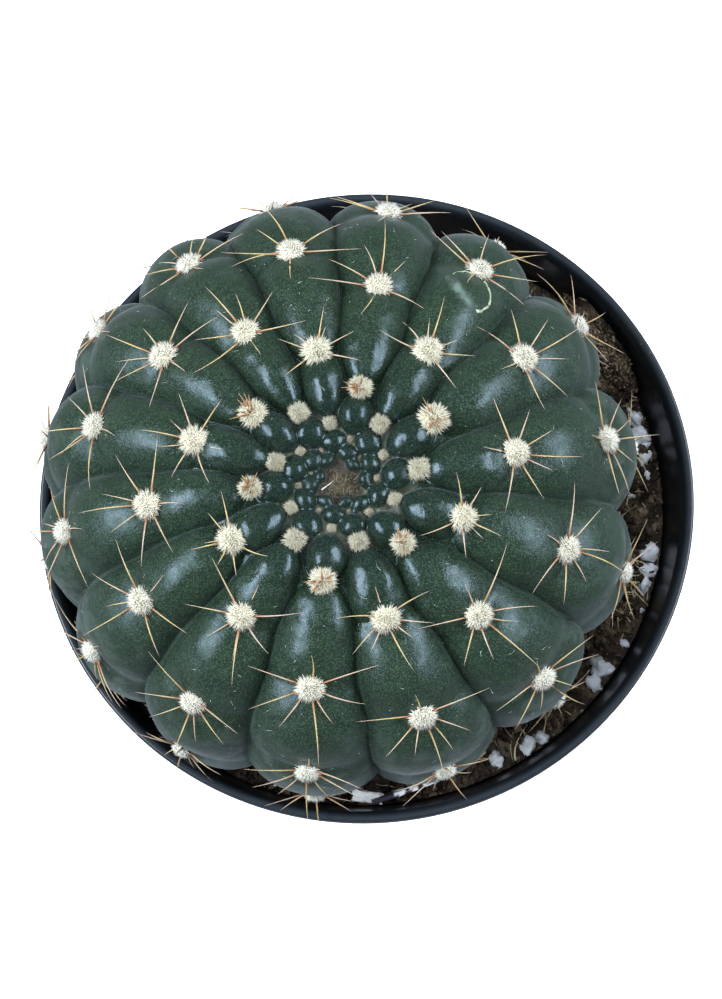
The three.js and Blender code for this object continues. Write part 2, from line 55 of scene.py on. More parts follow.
# ---- Form of the pot, in millimetres ----

RIM_DIAMETER = 105
RIM_SHORT_DIAMETER = 102
RIM_LONG_AXIS = 14  # degrees from +X
POT_HEIGHT = 90
BASE_DIAMETER = 76
BASE_CHAMFER = 1
WALL = 1
FLOOR = 1.6
LIP_WIDTH = 2
LIP_HEIGHT = 3.4
LIP_BAND = 1.2  # width of the lip's flat top, which slopes down to the wall inside it
LIP_SLOPE = 1.5
LIP_UNDERCUT = 0.35  # slope of the lip's underside
DRAIN_HOLES = 6
DRAIN_DIAMETER = 8
DRAIN_CIRCLE = 50
SHARP_EDGE = 35  # degrees between faces, from where on an edge isn't shaded smooth
GAP = 0.3  # between the pot's wall and what fills it

# ---- Form of the plant, in millimetres and degrees ----

RIBS = 15
CREST_RADIUS = 47
CREST_RISE = 32
CREST_DROP = 36
CREST_FULLNESS = 2.3
WIDEST_LEVEL = 102
PLANT_X = -4.4
PLANT_Y = -1.2
CROWN_LEAN = (0.35, -2.5)
CROWN_LEAN_REACH = 60
CROWN_DIMPLE_DEPTH = 5
CROWN_DIMPLE_RADIUS = 9
RIB_TWIST = 0.078  # degrees per millimetre of crest
DIRECTIONS_ARC = 40  # crest length where the directions below hold
LOWEST_RIB_LEVEL = 80.5
FOOT_RADIUS = 33
FOOT_BOTTOM = 66
RIB_DIRECTIONS = (79, 56, 33, 8, -18, -45, -71, -97, -123, -147, -170, -192, -214, -236, -258)

# Swellings: each rib is a chain of them, from small knobs at the crown to long grown ones
KNOB_HALF_WIDTH = 2.7
KNOB_START = 0.7
KNOB_REACH = 3.6
KNOB_HEIGHT = 1.2  # share of the half width
RIB_HEIGHT_ARCS = (0, 10, 20, 30, 38, 50, 65)
RIB_HEIGHTS = (1.2, 1.6, 2.9, 4.4, 5.0, 4.5, 4.0)
RIB_HALF_WIDTH = 1.03  # share of half the space from rib to rib
FURROW_SHARPNESS = 10
SECTION_ARCS = (12, 28)
SECTION_POWERS = (0.5, 0.7)  # from round knobs to ribs with sloping sides
NOTCH_START = 9
NOTCH_REACH = 13
NOTCH_GROWN = 0.34
NOTCH_CURVE = 2
EVEN_START = 14
EVEN_REACH = 12
EVEN_SHARE = 0.85
FLAT_CROWN_REACH = 15  # crest length over which the crown is nearly flat
SWELLINGS_PER_MM = 10
CREST_STEPS = 1200  # along the whole curve of the crest
KNOB_BLEND = 6  # how sharply knobs and ribs change over into each other
SKIN_UNEVENNESS = 0.0032  # share of the distance from the origin
UNEVENNESS_SCALES = ((0.16, 1), (0.5, 0.4))  # how fine each swell is, and its share

# Rings of the skin, at spacings of their own, and what they turn into below the ribs
CROWN_REACH = 26
CROWN_STEP = 0.3
RIB_RINGS = 62
POINTS_PER_RIB = 28
FOOT_RINGS = (1.0, 2.2, 3.6, 8.0, 16.0)  # lengths past the ribs' end
FOOT_INSET = 0.6

# Areoles grow in threes, a third of a turn apart, and each three stands two ribs on
FIRST_SWELLING_WHORL = -10
YOUNGEST_WHORL = -5
FIRST_SPINY_WHORL = 2
FIRST_SPREADING_WHORL = 4
YOUNG_ARC = 10
YOUNG_GROWTH = 0.17
GROWN_STEP = 3.7
SUNNY_SIDE = 10
SUNNY_STRETCH = 0.02
BARE_END = 3.5
AREOLE_SINK = 1.6

# Widths of the tufts of wool, by crest length from the centre of the crown
WOOL_ARCS = (4, 5.5, 7, 8.5, 10, 12, 14, 17, 40, 62)
WOOL_WIDTHS = (0.9, 1.4, 1.8, 2.6, 3.4, 3.8, 4.4, 5.3, 5.1, 4.0)
WOOL_ROOM = (0.3, 0.75)  # shares of a tuft that the knobs above and below it leave free
WOOL_ROOM_REACH = 16

# A tuft of unit radius: its rough core, and hairs that stand out over it
TUFTS = 5
YOUNG_TUFTS = 3
YOUNG_SQUARENESS = 0.8  # young tufts are squeezed square between the knobs
TUFT_CORE = 0.68
CORE_FLATNESS = 0.62
HAIR_ROOT = 0.5  # distance from the tuft's middle
HAIR_RADIUS = 0.052
HAIR_LENGTHS = (0.36, 0.58)
WOOL_LIFT = 0.45  # of a tuft's middle over its areole
YOUNG_WOOL_LIFT = 0.1
PRESSED_TUFT = 0.75  # height of a tuft that the pot or soil presses on
YOUNG_FELTING = 0.36  # how brown the youngest tuft is, and how much less each whorl
FELTING_STEP = 0.09

FELT_RADIUS = 3.1
FELT_SINK = 1.5
FELT_HEIGHT = 0.6
FELT_STRANDS = 2200
FELT_LENGTHS = (0.3, 0.9)
FELT_STRAND_RADIUS = 0.035

FLECKS = 700
FLECK_ARCS = (12, -6)  # from the crown, and from the ribs' end
FLECK_BAND = 0.42  # share of a rib, away from its crest
FLECK_LENGTHS = (0.25, 0.9)  # the shortest, and how much more the longest has
FLECK_RADII = (0.02, 0.045)
FLECK_LIFT = 0.08

# Spreading spines round a grown areole: degrees from downhill, share of the full length
RADIAL_SPINES = (
    (31, 0.60),
    (-31, 0.58),
    (68, 0.76),
    (-68, 0.78),
    (116, 0.98),
    (-118, 0.95),
    (177, 0.58),
)
SPINE_RADIUS = 0.155
SPINE_RISE = 17
SPINE_SCATTER = 6
SPINE_CLEARANCE = 0.35
SPINE_LIFTS = 20  # steps that turn a spine up until it is clear
LIFT_STEP = 0.08
SPINE_SEAT = (1.1, 0.35)  # from the areole's middle to a spine's root, along and off the skin
SWOLLEN_ROOT = 0.5
YOUNG_SPINES = 11
YOUNG_SPINE_LENGTHS = (1.8, 3.0)
YOUNG_SPINE_SEAT = (0.5, 0.8)
YOUNG_THICKNESS = 1.3
YOUNG_COLORING = 0.3  # how far along a grown spine's colours a young one gets
WORN_ARC = 50  # crest length from where on spines are shorter
WORN_REACH = 20

# A healed scar on the second rib, a ridge that runs most of the way round a dull patch
SCAR_RIB = 1
SCAR_ARC = 37
SCAR_RADIUS = (3.6, 4.4)
SCAR_SPAN = (-65, 130)
SCAR_THICKNESS = 0.26
SCAR_LIFT = 0.06
SCAR_ROUGHNESS = 0.05
SCAR_SEED = 5
DULL_BAND = (  # crest length, rib
    (37.2, 0.78),
    (36.0, 0.86),
    (35.2, 0.92),
    (34.6, 1.0),
    (34.3, 1.1),
)
DULL_REACH = 0.75

# A pale splinter that lies in the crown, from the centre of the crown
SPLINTER = ((-2.7, -1.5, 1.2), (-0.85, -0.15, 1.5))
SPLINTER_RADIUS = 0.13

STRAND_TAPER = 0.9  # share of its radius that a strand loses towards its tip
TAPER_CURVE = 1.25
SWELLING_FADE = 14  # how soon a swollen root ends

# ---- Form of the soil and label, in millimetres and degrees ----

SOIL_LEVEL = 77.5
SOIL_SLOPE = 0.03
SOIL_SIDES = 640
SOIL_TOP_RINGS = 44
SOIL_BRINK_GAP = 0.15  # the top's edge runs closer to the wall than the side below it
SOIL_SKIRT = 4  # depth of the straight side under the top's edges
HOLE_INSET = 1  # the hole is this much smaller than the foot, so that no gap shows
LUMPS = (0.22, 0.9)  # how fine the soil's broad lumps are, and how high
HOLLOWS = (0.75, 1.1)  # the same of the crumbs and hollows on them
MEAN_ROUGHNESS = 0.5
MOUND_DIRECTION = 36
MOUND_RADIUS = 45
MOUND_HEIGHT = 6.5
MOUND_SPREAD = 6.5
OPEN_SOIL = (34, 49)  # reach from the pot's axis where loose pieces may lie

CRUMB_HEIGHT = 1  # room that spines leave over the soil's mean level
CRUMB_PATTERNS = 8
CRUMB_SIZES = (0.18, 0.85)  # the smallest, and how much more the largest has
LARGE_CRUMB = 0.45
LABEL_SIZE = (13, 0.8, 20)
LABEL_TOP = (7, -45.4, 84)
LABEL_TURN = 20
LABEL_LEAN = 9
LABEL_CURL = 0.8
LABEL_ROUNDING = 0.15
GLINT_FROM = -3  # a painted white glint runs along the label's top edge from here on to its right

FIBRES = 150
FIBRE_LENGTHS = (1, 4)
PALE_FIBRE_LENGTHS = (2, 5)
FIBRE_RADII = (0.07, 0.2)
# Beds of pale dry fibres: x, y, reach and count
FIBRE_BEDS = ((43, -14, 6, 45), (26, -37, 5, 30), (38, 5, 8, 20))
CLUMP_PLACE = (38.8, 28.5, 80)  # the clump of coarse peat
CLUMP_SIZE = (5.6, 10, 6.5)
CLUMP_TURN = 22
CLUMP_STRANDS = 1900
CLUMP_LENGTHS = (0.4, 1.5)
CLUMP_RADII = (0.09, 0.24)
ROOT_CURL = (
    (35.5, 35.7, 84.5),
    (35.2, 34.4, 86),
    (37.3, 33.6, 86.5),
    (37.4, 32.2, 86),
    (35.4, 30.8, 85),
)
ROOT_CURL_RADIUS = 0.2
WHITE_CHIP = (0.1, -46.4, 81.5)
WHITE_CHIP_SIZE = (4.4, 1.6, 0.5)
WHITE_CHIP_TURN = -6

# Perlite grains that the photograph shows: x, y and radius
PERLITE_SEEN = (
    (42.7, 25.3, 1.9),
    (45.4, 16.2, 1.3),
    (46.3, 13.6, 1.6),
    (45.6, 11.7, 1.0),
    (45.4, 9.2, 1.2),
    (40.2, 19.1, 0.8),
    (47.0, -6.4, 1.4),
    (46.5, -9.5, 1.3),
    (46.4, -12.3, 1.3),
    (39.5, -26.4, 1.7),
    (38.4, -29.0, 1.4),
    (37.5, -24.1, 1.1),
    (42.8, -16.2, 0.6),
    (44.6, -15.8, 0.5),
    (43.0, -22.0, 0.8),
    (21.0, -40.1, 1.5),
    (27.9, -40.6, 1.4),
    (30.3, -39.2, 1.2),
    (45.9, 6.5, 0.8),
    (43.4, 3.2, 0.6),
)
MOSSY_GRAIN = 11  # the grain above that is tinted green
GRAIN_SIZES = (0.5, 1.1)  # the smallest, and how much more the largest has
HIDDEN_GRAINS = 34  # further grains, which stay out of the side that the photograph shows
SHOWN_SIDE = 30
TINY_GRAIN = 0.8

# ---- Stage, in metres and degrees ----

FLOOR_SIZE = 4
WORLD_STRENGTH = 0.14
# Soft boxes round the crown: off the zenith, azimuth, size, share of the power, is it mirrored
SOFT_BOXES = {
    "left_box": (50, 190, (0.8, 0.4), 0.84, True),
    "right_box": (58, 6, (0.8, 0.35), 0.62, True),
    "fill_box": (8, 90, (0.5, 0.5), 0.31, False),
    "back_box": (64, 82, (0.7, 0.35), 0.17, False),
}
SOFT_BOX_AIM = (0, 0, 0.11)
SOFT_BOX_DISTANCE = 0.9
CAMERA_TARGET = (-0.00094, 0.000458, 0.090)
CAMERA_DISTANCE = 0.5
CAMERA_TILT = 10  # from straight down
LENS = 112.57  # millimetres, as is the sensor
SENSOR = 36


# ---- Settings ----


def color_property(name, description, default):
    return bpy.props.FloatVectorProperty(
        name=name, description=description, default=default, subtype="COLOR", size=4, min=0, max=1
    )


class PotSettings(bpy.types.PropertyGroup):
    plastic: color_property("Plastic", "Colour of the pot's plastic", (0.008, 0.010, 0.014, 1))
    # The lip's colour is partly rubbed wear and partly painted sheen.
    lip: color_property("Lip", "Colour of the lip's rubbed top", (0.019, 0.025, 0.033, 1))
    dust: color_property("Dust", "Colour of dry soil dust on the plastic", (0.16, 0.12, 0.08, 1))
    sides: bpy.props.IntProperty(
        name="Sides", description="Facets round the pot", default=192, min=48, max=512
    )
    lip_rounding: bpy.props.FloatProperty(
        name="Lip rounding",
        description="Radius of the lip's edges",
        default=0.0005,
        min=0.0001,
        max=0.0009,
        unit="LENGTH",
    )


class PlantSettings(bpy.types.PropertyGroup):
    skin: color_property("Skin", "Colour of the young skin", (0.014, 0.027, 0.015, 1))
    old_skin: color_property("Old skin", "Colour of the skin low down", (0.027, 0.043, 0.030, 1))
    wool: color_property("Wool", "Colour of the wool on the crown", (0.69, 0.66, 0.53, 1))
    old_wool: color_property("Old wool", "Colour of the wool low down", (0.73, 0.73, 0.68, 1))
    spine_root: color_property("Spine root", "Colour of a spine's root", (0.32, 0.135, 0.060, 1))
    spine_middle: color_property("Spine", "Colour of a spine's middle", (0.54, 0.43, 0.18, 1))
    spine_tip: color_property("Spine tip", "Colour of a spine's tip", (0.54, 0.42, 0.35, 1))
    spine_length: bpy.props.FloatProperty(
        name="Spine length",
        description="Length of the longest spreading spines",
        default=0.0105,
        min=0.003,
        max=0.02,
        unit="LENGTH",
    )
    hairs: bpy.props.IntProperty(
        name="Hairs", description="Hairs on each tuft of wool", default=440, min=20, max=440
    )
    seed: bpy.props.IntProperty(name="Seed", description="Seed of the plant's draws", default=15)


class SoilSettings(bpy.types.PropertyGroup):
    dark: color_property("Dark soil", "Colour of the damp peat", (0.024, 0.018, 0.014, 1))
    light: color_property("Light soil", "Colour of the dry crumbs", (0.36, 0.27, 0.18, 1))
    perlite: color_property("Perlite", "Colour of the white grains", (0.76, 0.80, 0.88, 1))
    straw: color_property("Straw", "Colour of the dry fibres", (0.72, 0.64, 0.42, 1))
    crumbs: bpy.props.IntProperty(
        name="Crumbs", description="Loose crumbs on the soil", default=3600, min=0, max=6000
    )
    seed: bpy.props.IntProperty(name="Seed", description="Seed of the soil's draws", default=16)


class LabelSettings(bpy.types.PropertyGroup):
    plastic: color_property("Plastic", "Colour of the label", (0.034, 0.031, 0.044, 1))
    # The worn colour is a painted white glint on the label's top edge.
    worn: color_property("Painted glint", "Colour of the label's painted glint", (0.86, 0.90, 0.94, 1))


class StageSettings(bpy.types.PropertyGroup):
    floor: color_property("Floor", "Colour of the floor", (0.93, 0.93, 0.93, 1))
    bounce: color_property("Bounce", "Colour of the floor as the pieces see it", (0.13, 0.14, 0.15, 1))
    light: color_property("Light", "Colour of the soft boxes", (0.86, 0.93, 1.0, 1))
    power: bpy.props.FloatProperty(
        name="Power", description="Power of the larger soft box", default=17, min=0, unit="POWER"
    )


# ---- Nodes ----


class Nodes:
    """Adds nodes to a tree. A value may be a number, a colour or another node's socket."""

    def __init__(self, tree):
        self.tree = tree

    def fill(self, socket, value):
        if isinstance(value, bpy.types.NodeSocket):
            self.tree.links.new(value, socket)
        else:
            socket.default_value = value

    def add(self, kind, settings=None, **inputs):
        """Adds a node. Its inputs are named with _ for a space."""
        node = self.tree.nodes.new(kind)
        for name, value in (settings or {}).items():
            setattr(node, name, value)
        for name, value in inputs.items():
            self.fill(node.inputs[name.replace("_", " ")], value)
        return node

    def maths(self, operation, first, *others):
        """Values taken together one after another."""
        for value in others:
            node = self.add("ShaderNodeMath", {"operation": operation})
            self.fill(node.inputs[0], first)
            self.fill(node.inputs[1], value)
            first = node.outputs[0]
        return first

    def product(self, *values):
        return self.maths("MULTIPLY", *values)

    def total(self, *values):
        return self.maths("ADD", *values)

    def ranged(self, value, low, high, to_low=0.0, to_high=1.0):
        """A value taken from one range to another, and kept in it."""
        ends = {"From_Min": low, "From_Max": high, "To_Min": to_low, "To_Max": to_high}
        smooth = {"interpolation_type": "SMOOTHSTEP"}
        return self.add("ShaderNodeMapRange", smooth, Value=value, **ends).outputs[0]

    def mix(self, factor, first, second):
        """The colour between two colours."""
        node = self.add("ShaderNodeMix", {"data_type": "RGBA"})
        for index, value in ((0, factor), (6, first), (7, second)):
            self.fill(node.inputs[index], value)
        return node.outputs[2]

    def over(self, color, coat, *masks):
        """A colour under a coat that shows where all its masks do."""
        return self.mix(self.product(*masks), color, coat)

    def attribute(self, name):
        return self.add("ShaderNodeAttribute", {"attribute_name": name}).outputs["Fac"]

    def shared(self, name, **inputs):
        """The output of a shared group, which reads the piece's own Object coordinates."""
        where = self.tree.nodes.get("Texture Coordinate") or self.add("ShaderNodeTexCoord")
        group = self.add("ShaderNodeGroup", {"node_tree": shared_group(name)}, **inputs)
        self.tree.links.new(where.outputs["Object"], group.inputs["Vector"])
        return group.outputs[0]

    def patches(self, scale, low, high):
        return self.shared("Soft patches", Scale=scale, Low=low, High=high)

    def specks(self, scale, size, share):
        return self.shared("Fine specks", Scale=scale, Size=size, Share=share)

    def grain(self, scale, coarse):
        return self.shared("Uneven grain", Scale=scale, Coarse=coarse)


class Paint(Nodes):
    """A new material and its shader."""

    def __init__(self, name, roughness=0.5):
        self.material = bpy.data.materials.new(name)
        self.material.use_nodes = True
        super().__init__(self.material.node_tree)
        self.shader = self.tree.nodes["Principled BSDF"]
        self.feed(Roughness=roughness)

    def feed(self, **values):
        """Sets or feeds the shader's sockets, named with _ for a space."""
        for name, value in values.items():
            self.fill(self.shader.inputs[name.replace("_", " ")], value)

    def bump(self, height, strength, distance):
        node = self.add("ShaderNodeBump", Height=height, Strength=strength, Distance=distance)
        self.feed(Normal=node.outputs["Normal"])


def wire_patches(nodes, given):
    """Soft uneven patches: noise at a scale, cut off between Low and High."""
    where = given["Vector"]
    cloud = nodes.add("ShaderNodeTexNoise", Vector=where, Scale=given["Scale"], Detail=4.0)
    return nodes.ranged(cloud.outputs["Fac"], given["Low"], given["High"])


def wire_specks(nodes, given):
    """Small round specks: Size is a speck's radius as a share of the space between specks."""
    cells = nodes.add("ShaderNodeTexVoronoi", Vector=given["Vector"], Scale=given["Scale"])
    inner = nodes.product(given["Size"], 0.5)
    speck = nodes.ranged(cells.outputs["Distance"], given["Size"], inner)
    chance = nodes.add("ShaderNodeSeparateColor", Color=cells.outputs["Color"])
    return nodes.product(speck, nodes.maths("LESS_THAN", chance.outputs["Red"], given["Share"]))


def wire_grain(nodes, given):
    """Height of a fine uneven grain, with a coarser one under it."""
    where = given["Vector"]
    fine = nodes.add("ShaderNodeTexNoise", Vector=where, Scale=given["Scale"], Detail=3.0)
    wider = nodes.product(given["Scale"], 0.17)
    wide = nodes.add("ShaderNodeTexNoise", Vector=where, Scale=wider, Detail=2.0)
    return nodes.total(fine.outputs["Fac"], nodes.product(wide.outputs["Fac"], given["Coarse"]))


# Effects that materials share: inputs beside Vector, the output, and what makes it
SHARED = {
    "Soft patches": (("Scale", "Low", "High"), "Mask", wire_patches),
    "Fine specks": (("Scale", "Size", "Share"), "Mask", wire_specks),
    "Uneven grain": (("Scale", "Coarse"), "Height", wire_grain),
}


def shared_group(name):
    """A shared effect's node group, made when it is first asked for."""
    if name not in bpy.data.node_groups:
        inputs, output, wire = SHARED[name]
        tree = bpy.data.node_groups.new(name, "ShaderNodeTree")
        tree.interface.new_socket("Vector", in_out="INPUT", socket_type="NodeSocketVector")
        for label in inputs:
            tree.interface.new_socket(label, in_out="INPUT", socket_type="NodeSocketFloat")
        tree.interface.new_socket(output, in_out="OUTPUT", socket_type="NodeSocketFloat")
        given = tree.nodes.new("NodeGroupInput").outputs
        result = tree.nodes.new("NodeGroupOutput").inputs[output]
        tree.links.new(wire(Nodes(tree), given), result)
    return bpy.data.node_groups[name]


# ---- Materials ----


def skin_material(look):
    """Waxy skin. It is darkest and glossiest at the crown, and greyer and duller low down, with
    painted shade in its furrows and hollows.
    """
    skin = Paint("cactus_skin")
    age, furrow, hollow = (skin.attribute(name) for name in ("age", "furrow", "hollow"))
    blotches = skin.patches(520.0, 0.4, 0.65)
    specks = skin.specks(3900.0, 0.52, 0.8)
    oldness = skin.total(age, skin.product(skin.patches(90.0, 0.35, 0.65), 0.22))
    color = skin.mix(skin.ranged(oldness, 0.6, 1.2), look.skin, look.old_skin)
    color = skin.over(color, (0.016, 0.042, 0.014, 1), blotches, 0.35)
    # Pale waxy bloom on the old skin, in patches that also carry a painted highlight.
    bloom_and_painted_highlight = skin.product(skin.patches(240.0, 0.48, 0.64), skin.ranged(age, 0.4, 0.75, 0.0, 0.5))
    color = skin.over(color, (0.105, 0.140, 0.118, 1), bloom_and_painted_highlight)
    color = skin.over(color, (0.006, 0.014, 0.011, 1), skin.ranged(age, 0.08, 0.34, 0.88, 0.0))
    # Painted shade: the skin is darker where it is sunk, in the furrows and round the areoles.
    color = skin.over(color, (0.006, 0.016, 0.006, 1), skin.ranged(hollow, 0.3, 0.9), 0.6)
    color = skin.over(color, (0.12, 0.17, 0.13, 1), specks, skin.ranged(age, 0.1, 0.3, 0.15, 0.26))
    color = skin.over(color, (0.28, 0.34, 0.29, 1), skin.specks(1100.0, 0.14, 0.25), 0.35)
    grown = skin.ranged(age, 0.2, 0.35)
    crease = skin.product(skin.ranged(furrow, 0.975, 0.998), grown)
    # Painted shade along the bottom of each furrow, where the corky lines also run.
    color = skin.over(color, (0.010, 0.018, 0.010, 1), crease, 0.6)
    cork = skin.product(crease, skin.patches(260.0, 0.45, 0.55), skin.ranged(age, 0.42, 0.6))
    color = skin.over(color, (0.14, 0.17, 0.10, 1), cork, 0.32)
    scar = skin.product(skin.attribute("scar"), skin.total(blotches, 0.4))
    color = skin.over(color, (0.20, 0.27, 0.24, 1), scar, 0.45)
    felt = skin.product(skin.ranged(hollow, 0.46, 0.76), skin.ranged(age, 0.08, 0.145, 1.0, 0.0))
    outer = skin.ranged(age, 0.025, 0.05)
    webbing = skin.mix(outer, (0.050, 0.040, 0.028, 1), (0.20, 0.205, 0.155, 1))
    webbing = skin.over(webbing, (0.060, 0.052, 0.036, 1), blotches, 0.6)
    color = skin.over(color, webbing, felt, 0.9)
    grown_specks = skin.product(specks, skin.ranged(age, 0.1, 0.3))
    rough = skin.total(
        skin.ranged(age, 0.08, 0.5, 0.17, 0.34),
        skin.ranged(age, 0.03, 0.075, 0.14, 0.0),
        skin.product(skin.ranged(furrow, 0.90, 0.99, 0.0, 0.5), grown),
        skin.product(blotches, 0.10),
        skin.product(skin.total(scar, felt), 0.4),
        skin.product(grown_specks, 0.12),
    )
    skin.feed(Base_Color=color, Roughness=rough, Specular_Tint=(0.66, 0.84, 1.0, 1))
    skin.feed(Sheen_Weight=0.2, Sheen_Roughness=0.3, Sheen_Tint=(0.80, 0.92, 1.0, 1))
    height = skin.total(skin.grain(2300.0, 3.0), skin.product(grown_specks, 0.35))
    skin.bump(height, 0.28, 0.00016)
    return skin.material


def wool_material(look):
    """Cream wool, whiter low down, greyish at the crown and brown where it is matted, with painted
    shade at the hairs' roots.
    """
    wool = Paint("wool", 0.95)
    age = wool.attribute("age")
    color = wool.mix(wool.ranged(age, 0.15, 0.75), look.wool, look.old_wool)
    color = wool.over(color, (0.20, 0.20, 0.15, 1), wool.ranged(age, 0.10, 0.22, 0.55, 0.0))
    color = wool.over(color, (0.040, 0.030, 0.019, 1), wool.attribute("felt"))
    color = wool.over(color, (0.42, 0.34, 0.20, 1), wool.patches(900.0, 0.3, 0.7), 0.18)
    # Painted shade: darker towards the hairs' roots, deep in the tuft.
    root = wool.ranged(wool.attribute("tip"), 0.0, 0.8, 0.22, 0.0)
    color = wool.over(color, (0.38, 0.33, 0.22, 1), root)
    wool.feed(Base_Color=color, Specular_IOR_Level=0.2)
    return wool.material


def spine_material(look):
    spine = Paint("spine", 0.38)
    along = spine.attribute("along")
    pale = spine.mix(spine.attribute("tint"), look.spine_middle, look.spine_tip)
    color = spine.mix(spine.ranged(along, 0.08, 0.45), look.spine_root, pale)
    color = spine.over(color, look.spine_tip, spine.ranged(along, 0.6, 0.95))
    color = spine.over(color, (0.20, 0.07, 0.04, 1), spine.ranged(along, 0.93, 1.0, 0.0, 0.6))
    color = spine.over(color, look.spine_root, spine.patches(1500.0, 0.3, 0.7), 0.25)
    spine.feed(Base_Color=color)
    return spine.material


def clouded_material(name, roughness, clouds, tones, relief=None):
    """Two tones in soft patches, with a relief that follows them."""
    paint = Paint(name, roughness)
    mask = paint.patches(*clouds)
    paint.feed(Base_Color=paint.mix(mask, *tones))
    if relief:
        paint.bump(mask, *relief)
    return paint.material


def scar_material():
    tones = ((0.30, 0.38, 0.24, 1), (0.56, 0.62, 0.44, 1))
    return clouded_material("cork_scar", 0.7, (1200.0, 0.3, 0.7), tones, (0.4, 0.0001))


def chip_material():
    tones = ((0.95, 0.95, 0.95, 1), (0.80, 0.82, 0.84, 1))
    return clouded_material("white_chip", 0.5, (900.0, 0.4, 0.8), tones)


def fleck_material():
    tones = ((0.30, 0.36, 0.32, 1), (0.66, 0.72, 0.72, 1))
    return clouded_material("pale_fleck", 0.6, (1500.0, 0.3, 0.7), tones)


def plastic_material(name, plastic, worn, dust, roughness):
    """Satin moulded plastic with faint scuffs, a little dust and a paler tone on the marked edge:
    rubbed wear with painted sheen on the pot's lip, a painted white glint on the label.
    """
    satin = Paint(name)
    scuffs = satin.patches(140.0, 0.45, 0.75)
    motes = satin.specks(700.0, 0.17, 0.07)
    rubbed_and_sheened = satin.total(satin.product(satin.patches(420.0, 0.25, 0.6), 0.35), 0.65)
    # Paler coat on the marked edge: rubbed wear with painted sheen on the pot's lip, a painted white
    # glint on the label's top edge.
    color = satin.over(plastic, worn, satin.attribute("sheen_and_wear"), rubbed_and_sheened)
    color = satin.over(color, dust, satin.patches(38.0, 0.5, 0.8), 0.02)
    color = satin.over(color, dust, motes, 0.6)
    rough = satin.total(satin.product(scuffs, 0.12), roughness, satin.product(motes, 0.3))
    satin.feed(Base_Color=color, Roughness=rough)
    satin.bump(satin.grain(900.0, 2.0), 0.10, 0.0001)
    return satin.material


def soil_material(look):
    soil = Paint("soil_mix", 0.95)
    clods = soil.product(soil.patches(330.0, 0.42, 0.68), 0.28)
    color = soil.mix(soil.total(clods, soil.attribute("tint")), look.dark, look.light)
    color = soil.over(color, look.light, soil.specks(900.0, 0.3, 0.16), 0.5)
    soil.feed(Base_Color=color, Specular_IOR_Level=0.25)
    soil.bump(soil.grain(1500.0, 2.0), 1.0, 0.0006)
    return soil.material


def perlite_material(look):
    perlite = Paint("perlite", 0.85)
    pores = perlite.specks(2400.0, 0.4, 0.5)
    color = perlite.over(look.perlite, (0.22, 0.22, 0.24, 1), pores, 0.35)
    color = perlite.over(color, (0.16, 0.13, 0.11, 1), perlite.patches(600.0, 0.45, 0.75), 0.3)
    color = perlite.over(color, (0.20, 0.22, 0.12, 1), perlite.attribute("tint"))
    perlite.feed(Base_Color=color)
    perlite.bump(pores, -0.5, 0.0002)
    return perlite.material


def straw_material(look):
    straw = Paint("straw", 0.7)
    color = straw.over(look.straw, look.light, straw.patches(800.0, 0.3, 0.7), 0.4)
    straw.feed(Base_Color=straw.over(color, look.light, straw.attribute("tint")))
    return straw.material


def floor_material(look):
    """White paper to the camera, and darker to the pieces, so that it doesn't wash them out."""
    paper = Paint("floor_paper", 0.9)
    seen = paper.add("ShaderNodeLightPath").outputs["Is Camera Ray"]
    white = paper.mix(paper.patches(4.0, 0.2, 0.8), look.floor, (0.95, 0.95, 0.95, 1))
    glow = paper.mix(seen, (0, 0, 0, 1), (1, 1, 1, 1))
    paper.feed(Base_Color=paper.mix(seen, look.bounce, white), Emission_Color=glow)
    paper.feed(Emission_Strength=0.8)
    return paper.material


# ---- Piece helpers ----


def new_bmesh(*layers):
    """An empty bmesh whose points have float layers with the given names."""
    bm = bmesh.new()
    for name in layers:
        bm.verts.layers.float.new(name)
    return bm


def turned_out(bm):
    """The bmesh, with its faces turned outward."""
    bmesh.ops.recalc_face_normals(bm, faces=bm.faces)
    return bm


def mesh_from(bm, name):
    mesh = bpy.data.meshes.new(name)
    bm.to_mesh(mesh)
    bm.free()
    return mesh


def drop(*patterns):
    for pattern in patterns:
        bpy.data.meshes.remove(pattern)


def finished(name, bm, material, replaced=None, smooth=True):
    """Turns a bmesh in millimetres into a finished piece that rides on the part."""
    mesh = mesh_from(bm, name)
    mesh.transform(Matrix.Scale(MM, 4))
    mesh.materials.append(material)
    if smooth:
        mesh.shade_smooth()
    piece = bpy.data.objects.new(name, mesh)
    bpy.context.scene.collection.objects.link(piece)
    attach(piece, "root")
    if replaced:
        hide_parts(replaced)
    return piece


def spin_round(bm, steps):
    """Spins all that the bmesh holds once round the Z axis."""
    bmesh.ops.spin(
        bm,
        geom=bm.verts[:] + bm.edges[:],
        cent=(0, 0, 0),
        axis=(0, 0, 1),
        angle=2 * math.pi,
        steps=steps,
        use_merge=True,
    )
    bmesh.ops.remove_doubles(bm, verts=bm.verts, dist=1e-5)


def add_chain(bm, points):
    """Points joined by edges, one after another."""
    verts = [bm.verts.new(point) for point in points]
    for pair in zip(verts, verts[1:]):
        bm.edges.new(pair)
    return verts


def spun_disc(distances, steps):
    """A flat disc of rings at the given distances, for a form that is bent from it."""
    bm = bmesh.new()
    add_chain(bm, [(distance, 0, 0) for distance in distances])
    spin_round(bm, steps)
    return bm


def disc_places(bm):
    """Distance and angle of each of a spun disc's points."""
    flat = np.array([vert.co[:2] for vert in bm.verts])
    return np.hypot(flat[:, 0], flat[:, 1]), np.arctan2(flat[:, 1], flat[:, 0])


def set_points(bm, points):
    for vert, point in zip(bm.verts, points):
        vert.co = point


def set_layer(bm, name, values):
    layer = bm.verts.layers.float.new(name)
    for vert, value in zip(bm.verts, values):
        vert[layer] = value


